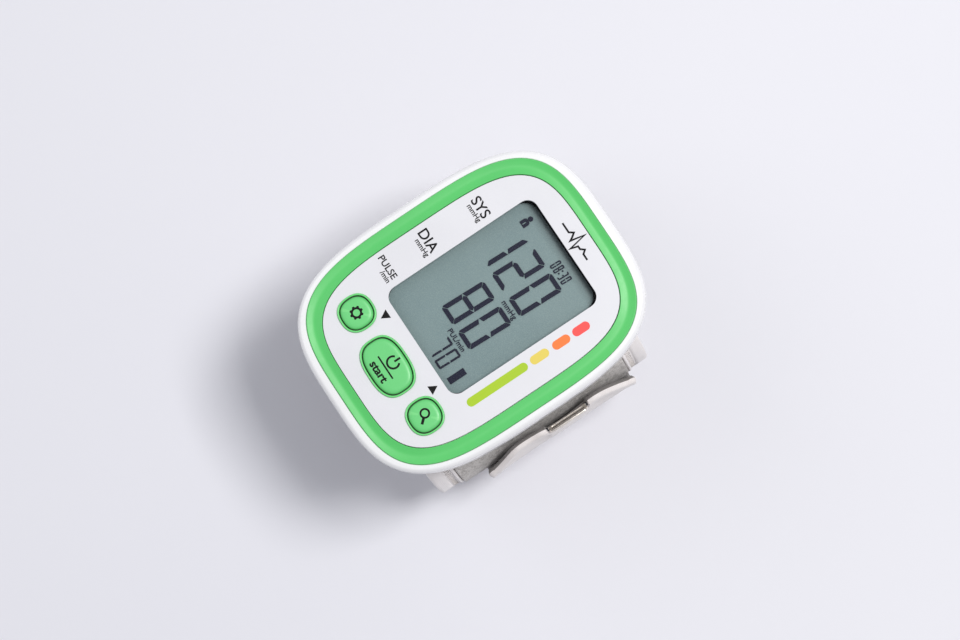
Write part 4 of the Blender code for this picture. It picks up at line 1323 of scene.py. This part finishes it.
KEPT = [
    (FRAME_WHITE, "battery_cradle lcd_frame cuff_rivet_1 cuff_rivet_2 air_manifold"),
    (LENS, "display_lens"), (LCD, "lcd_glass"), (BOARD, "main_pcb"), (SENSOR, "pressure_sensor"),
    (RUBBER, "zebra_connector start_switch_plunger settings_switch_plunger "
             "memory_switch_plunger"),
    (BLACK, "controller_chip buzzer pump_head valve_plunger"),
    (CAN, "pump_motor release_valve"), (CELL, "battery_1 battery_2"),
    (SILICONE, "pump_tube sensor_tube cuff_port"), (BLADDER, "air_bladder"),
    (PLATE_GREY, "spring_plate arm_spring_plate"),
    (STEEL, "housing_screw_1 housing_screw_2 housing_screw_3 housing_screw_4 battery_spring_1 "
            "battery_spring_2 bridge_contact positive_contact negative_contact start_switch "
            "settings_switch memory_switch pump_shaft"),
]


def paint_kept_nodes():
    for material, names in KEPT:
        for name in names.split():
            finish_with(frame["nodes"][name], material)


# Stage ------------------------------------------------------------------------------------

PIXEL = 0.00026
TILT = math.radians(5.0)
ROLL = math.radians(33.7)
DISTANCE = 0.59
FACE_SHIFT = (9.1, -9.1)
IMAGE_WIDTH = 960
SENSOR_WIDTH = 36.0
FLOOR_Z = -0.0006
LIGHT_TARGET = Vector((0, 0, 0.05))


def make_camera():
    """Looks down on the face, leaning to the strap side, with the part turned in the frame."""
    back = Vector((math.sin(TILT), 0, math.cos(TILT)))
    across = Vector((math.cos(TILT), 0, -math.sin(TILT)))
    ahead = Vector((0, 1, 0))
    right = ahead * math.cos(ROLL) + across * math.sin(ROLL)
    up = ahead * math.sin(ROLL) - across * math.cos(ROLL)
    target = Vector((0, 0, FACE_TOP)) + PIXEL * (right * FACE_SHIFT[0] + up * FACE_SHIFT[1])
    data = bpy.data.cameras.new("camera")
    data.sensor_width = SENSOR_WIDTH
    data.lens = SENSOR_WIDTH * DISTANCE / (IMAGE_WIDTH * PIXEL)
    data.clip_start = 0.01
    data.clip_end = 20
    camera = link(bpy.data.objects.new("camera", data))
    turn = Matrix((right, up, back)).transposed().to_4x4()
    camera.matrix_world = Matrix.Translation(target + back * DISTANCE) @ turn
    bpy.context.scene.camera = camera


def area_light(name, place_at, size, power, colour):
    data = bpy.data.lights.new(name, "AREA")
    data.shape = "RECTANGLE"
    data.size, data.size_y = size
    data.energy = power
    data.color = colour
    light = link(bpy.data.objects.new(name, data))
    light.location = place_at
    aim = LIGHT_TARGET - Vector(place_at)
    light.rotation_euler = aim.to_track_quat("-Z", "Y").to_euler()


def make_stage():
    bm = bmesh.new()
    bmesh.ops.create_grid(bm, x_segments=2, y_segments=2, size=3.0)
    bmesh.ops.translate(bm, vec=(0, 0, FLOOR_Z), verts=bm.verts)
    floor = add_mesh("floor", bm)
    look = Look("floor_paper", srgb(232, 232, 237), 0.9)
    look.tint(look.noise(3, 2), srgb(229, 229, 235), 0.3, 0.7)
    finish_with(floor, look.material)
    world = bpy.data.worlds.new("studio")
    bpy.context.scene.world = world
    world.use_nodes = True
    sky = world.node_tree.nodes["Background"]
    sky.inputs["Color"].default_value = (0.93, 0.94, 1.0, 1.0)
    sky.inputs["Strength"].default_value = 0.40
    area_light("key", (0.12, 0.46, 1.10), (0.30, 0.30), 9.2, (1.0, 0.99, 0.98))
    area_light("fill", (-0.7, -0.5, 0.8), (1.0, 1.0), 2.3, (0.97, 0.98, 1.0))
    bpy.context.scene.view_settings.view_transform = "Standard"


def main():
    make_camera()
    paint_kept_nodes()
    make_housing_top()
    make_housing_bottom()
    make_battery_door()
    make_trim_ring()
    make_face()
    make_keypad()
    make_gap_shade()
    make_panel_print()
    make_icons()
    make_display()
    make_long_arm()
    make_right_arm()
    make_pile()
    make_piping()
    make_strap()
    make_hook_patch()
    make_pull_ring()
    make_stage()


main()
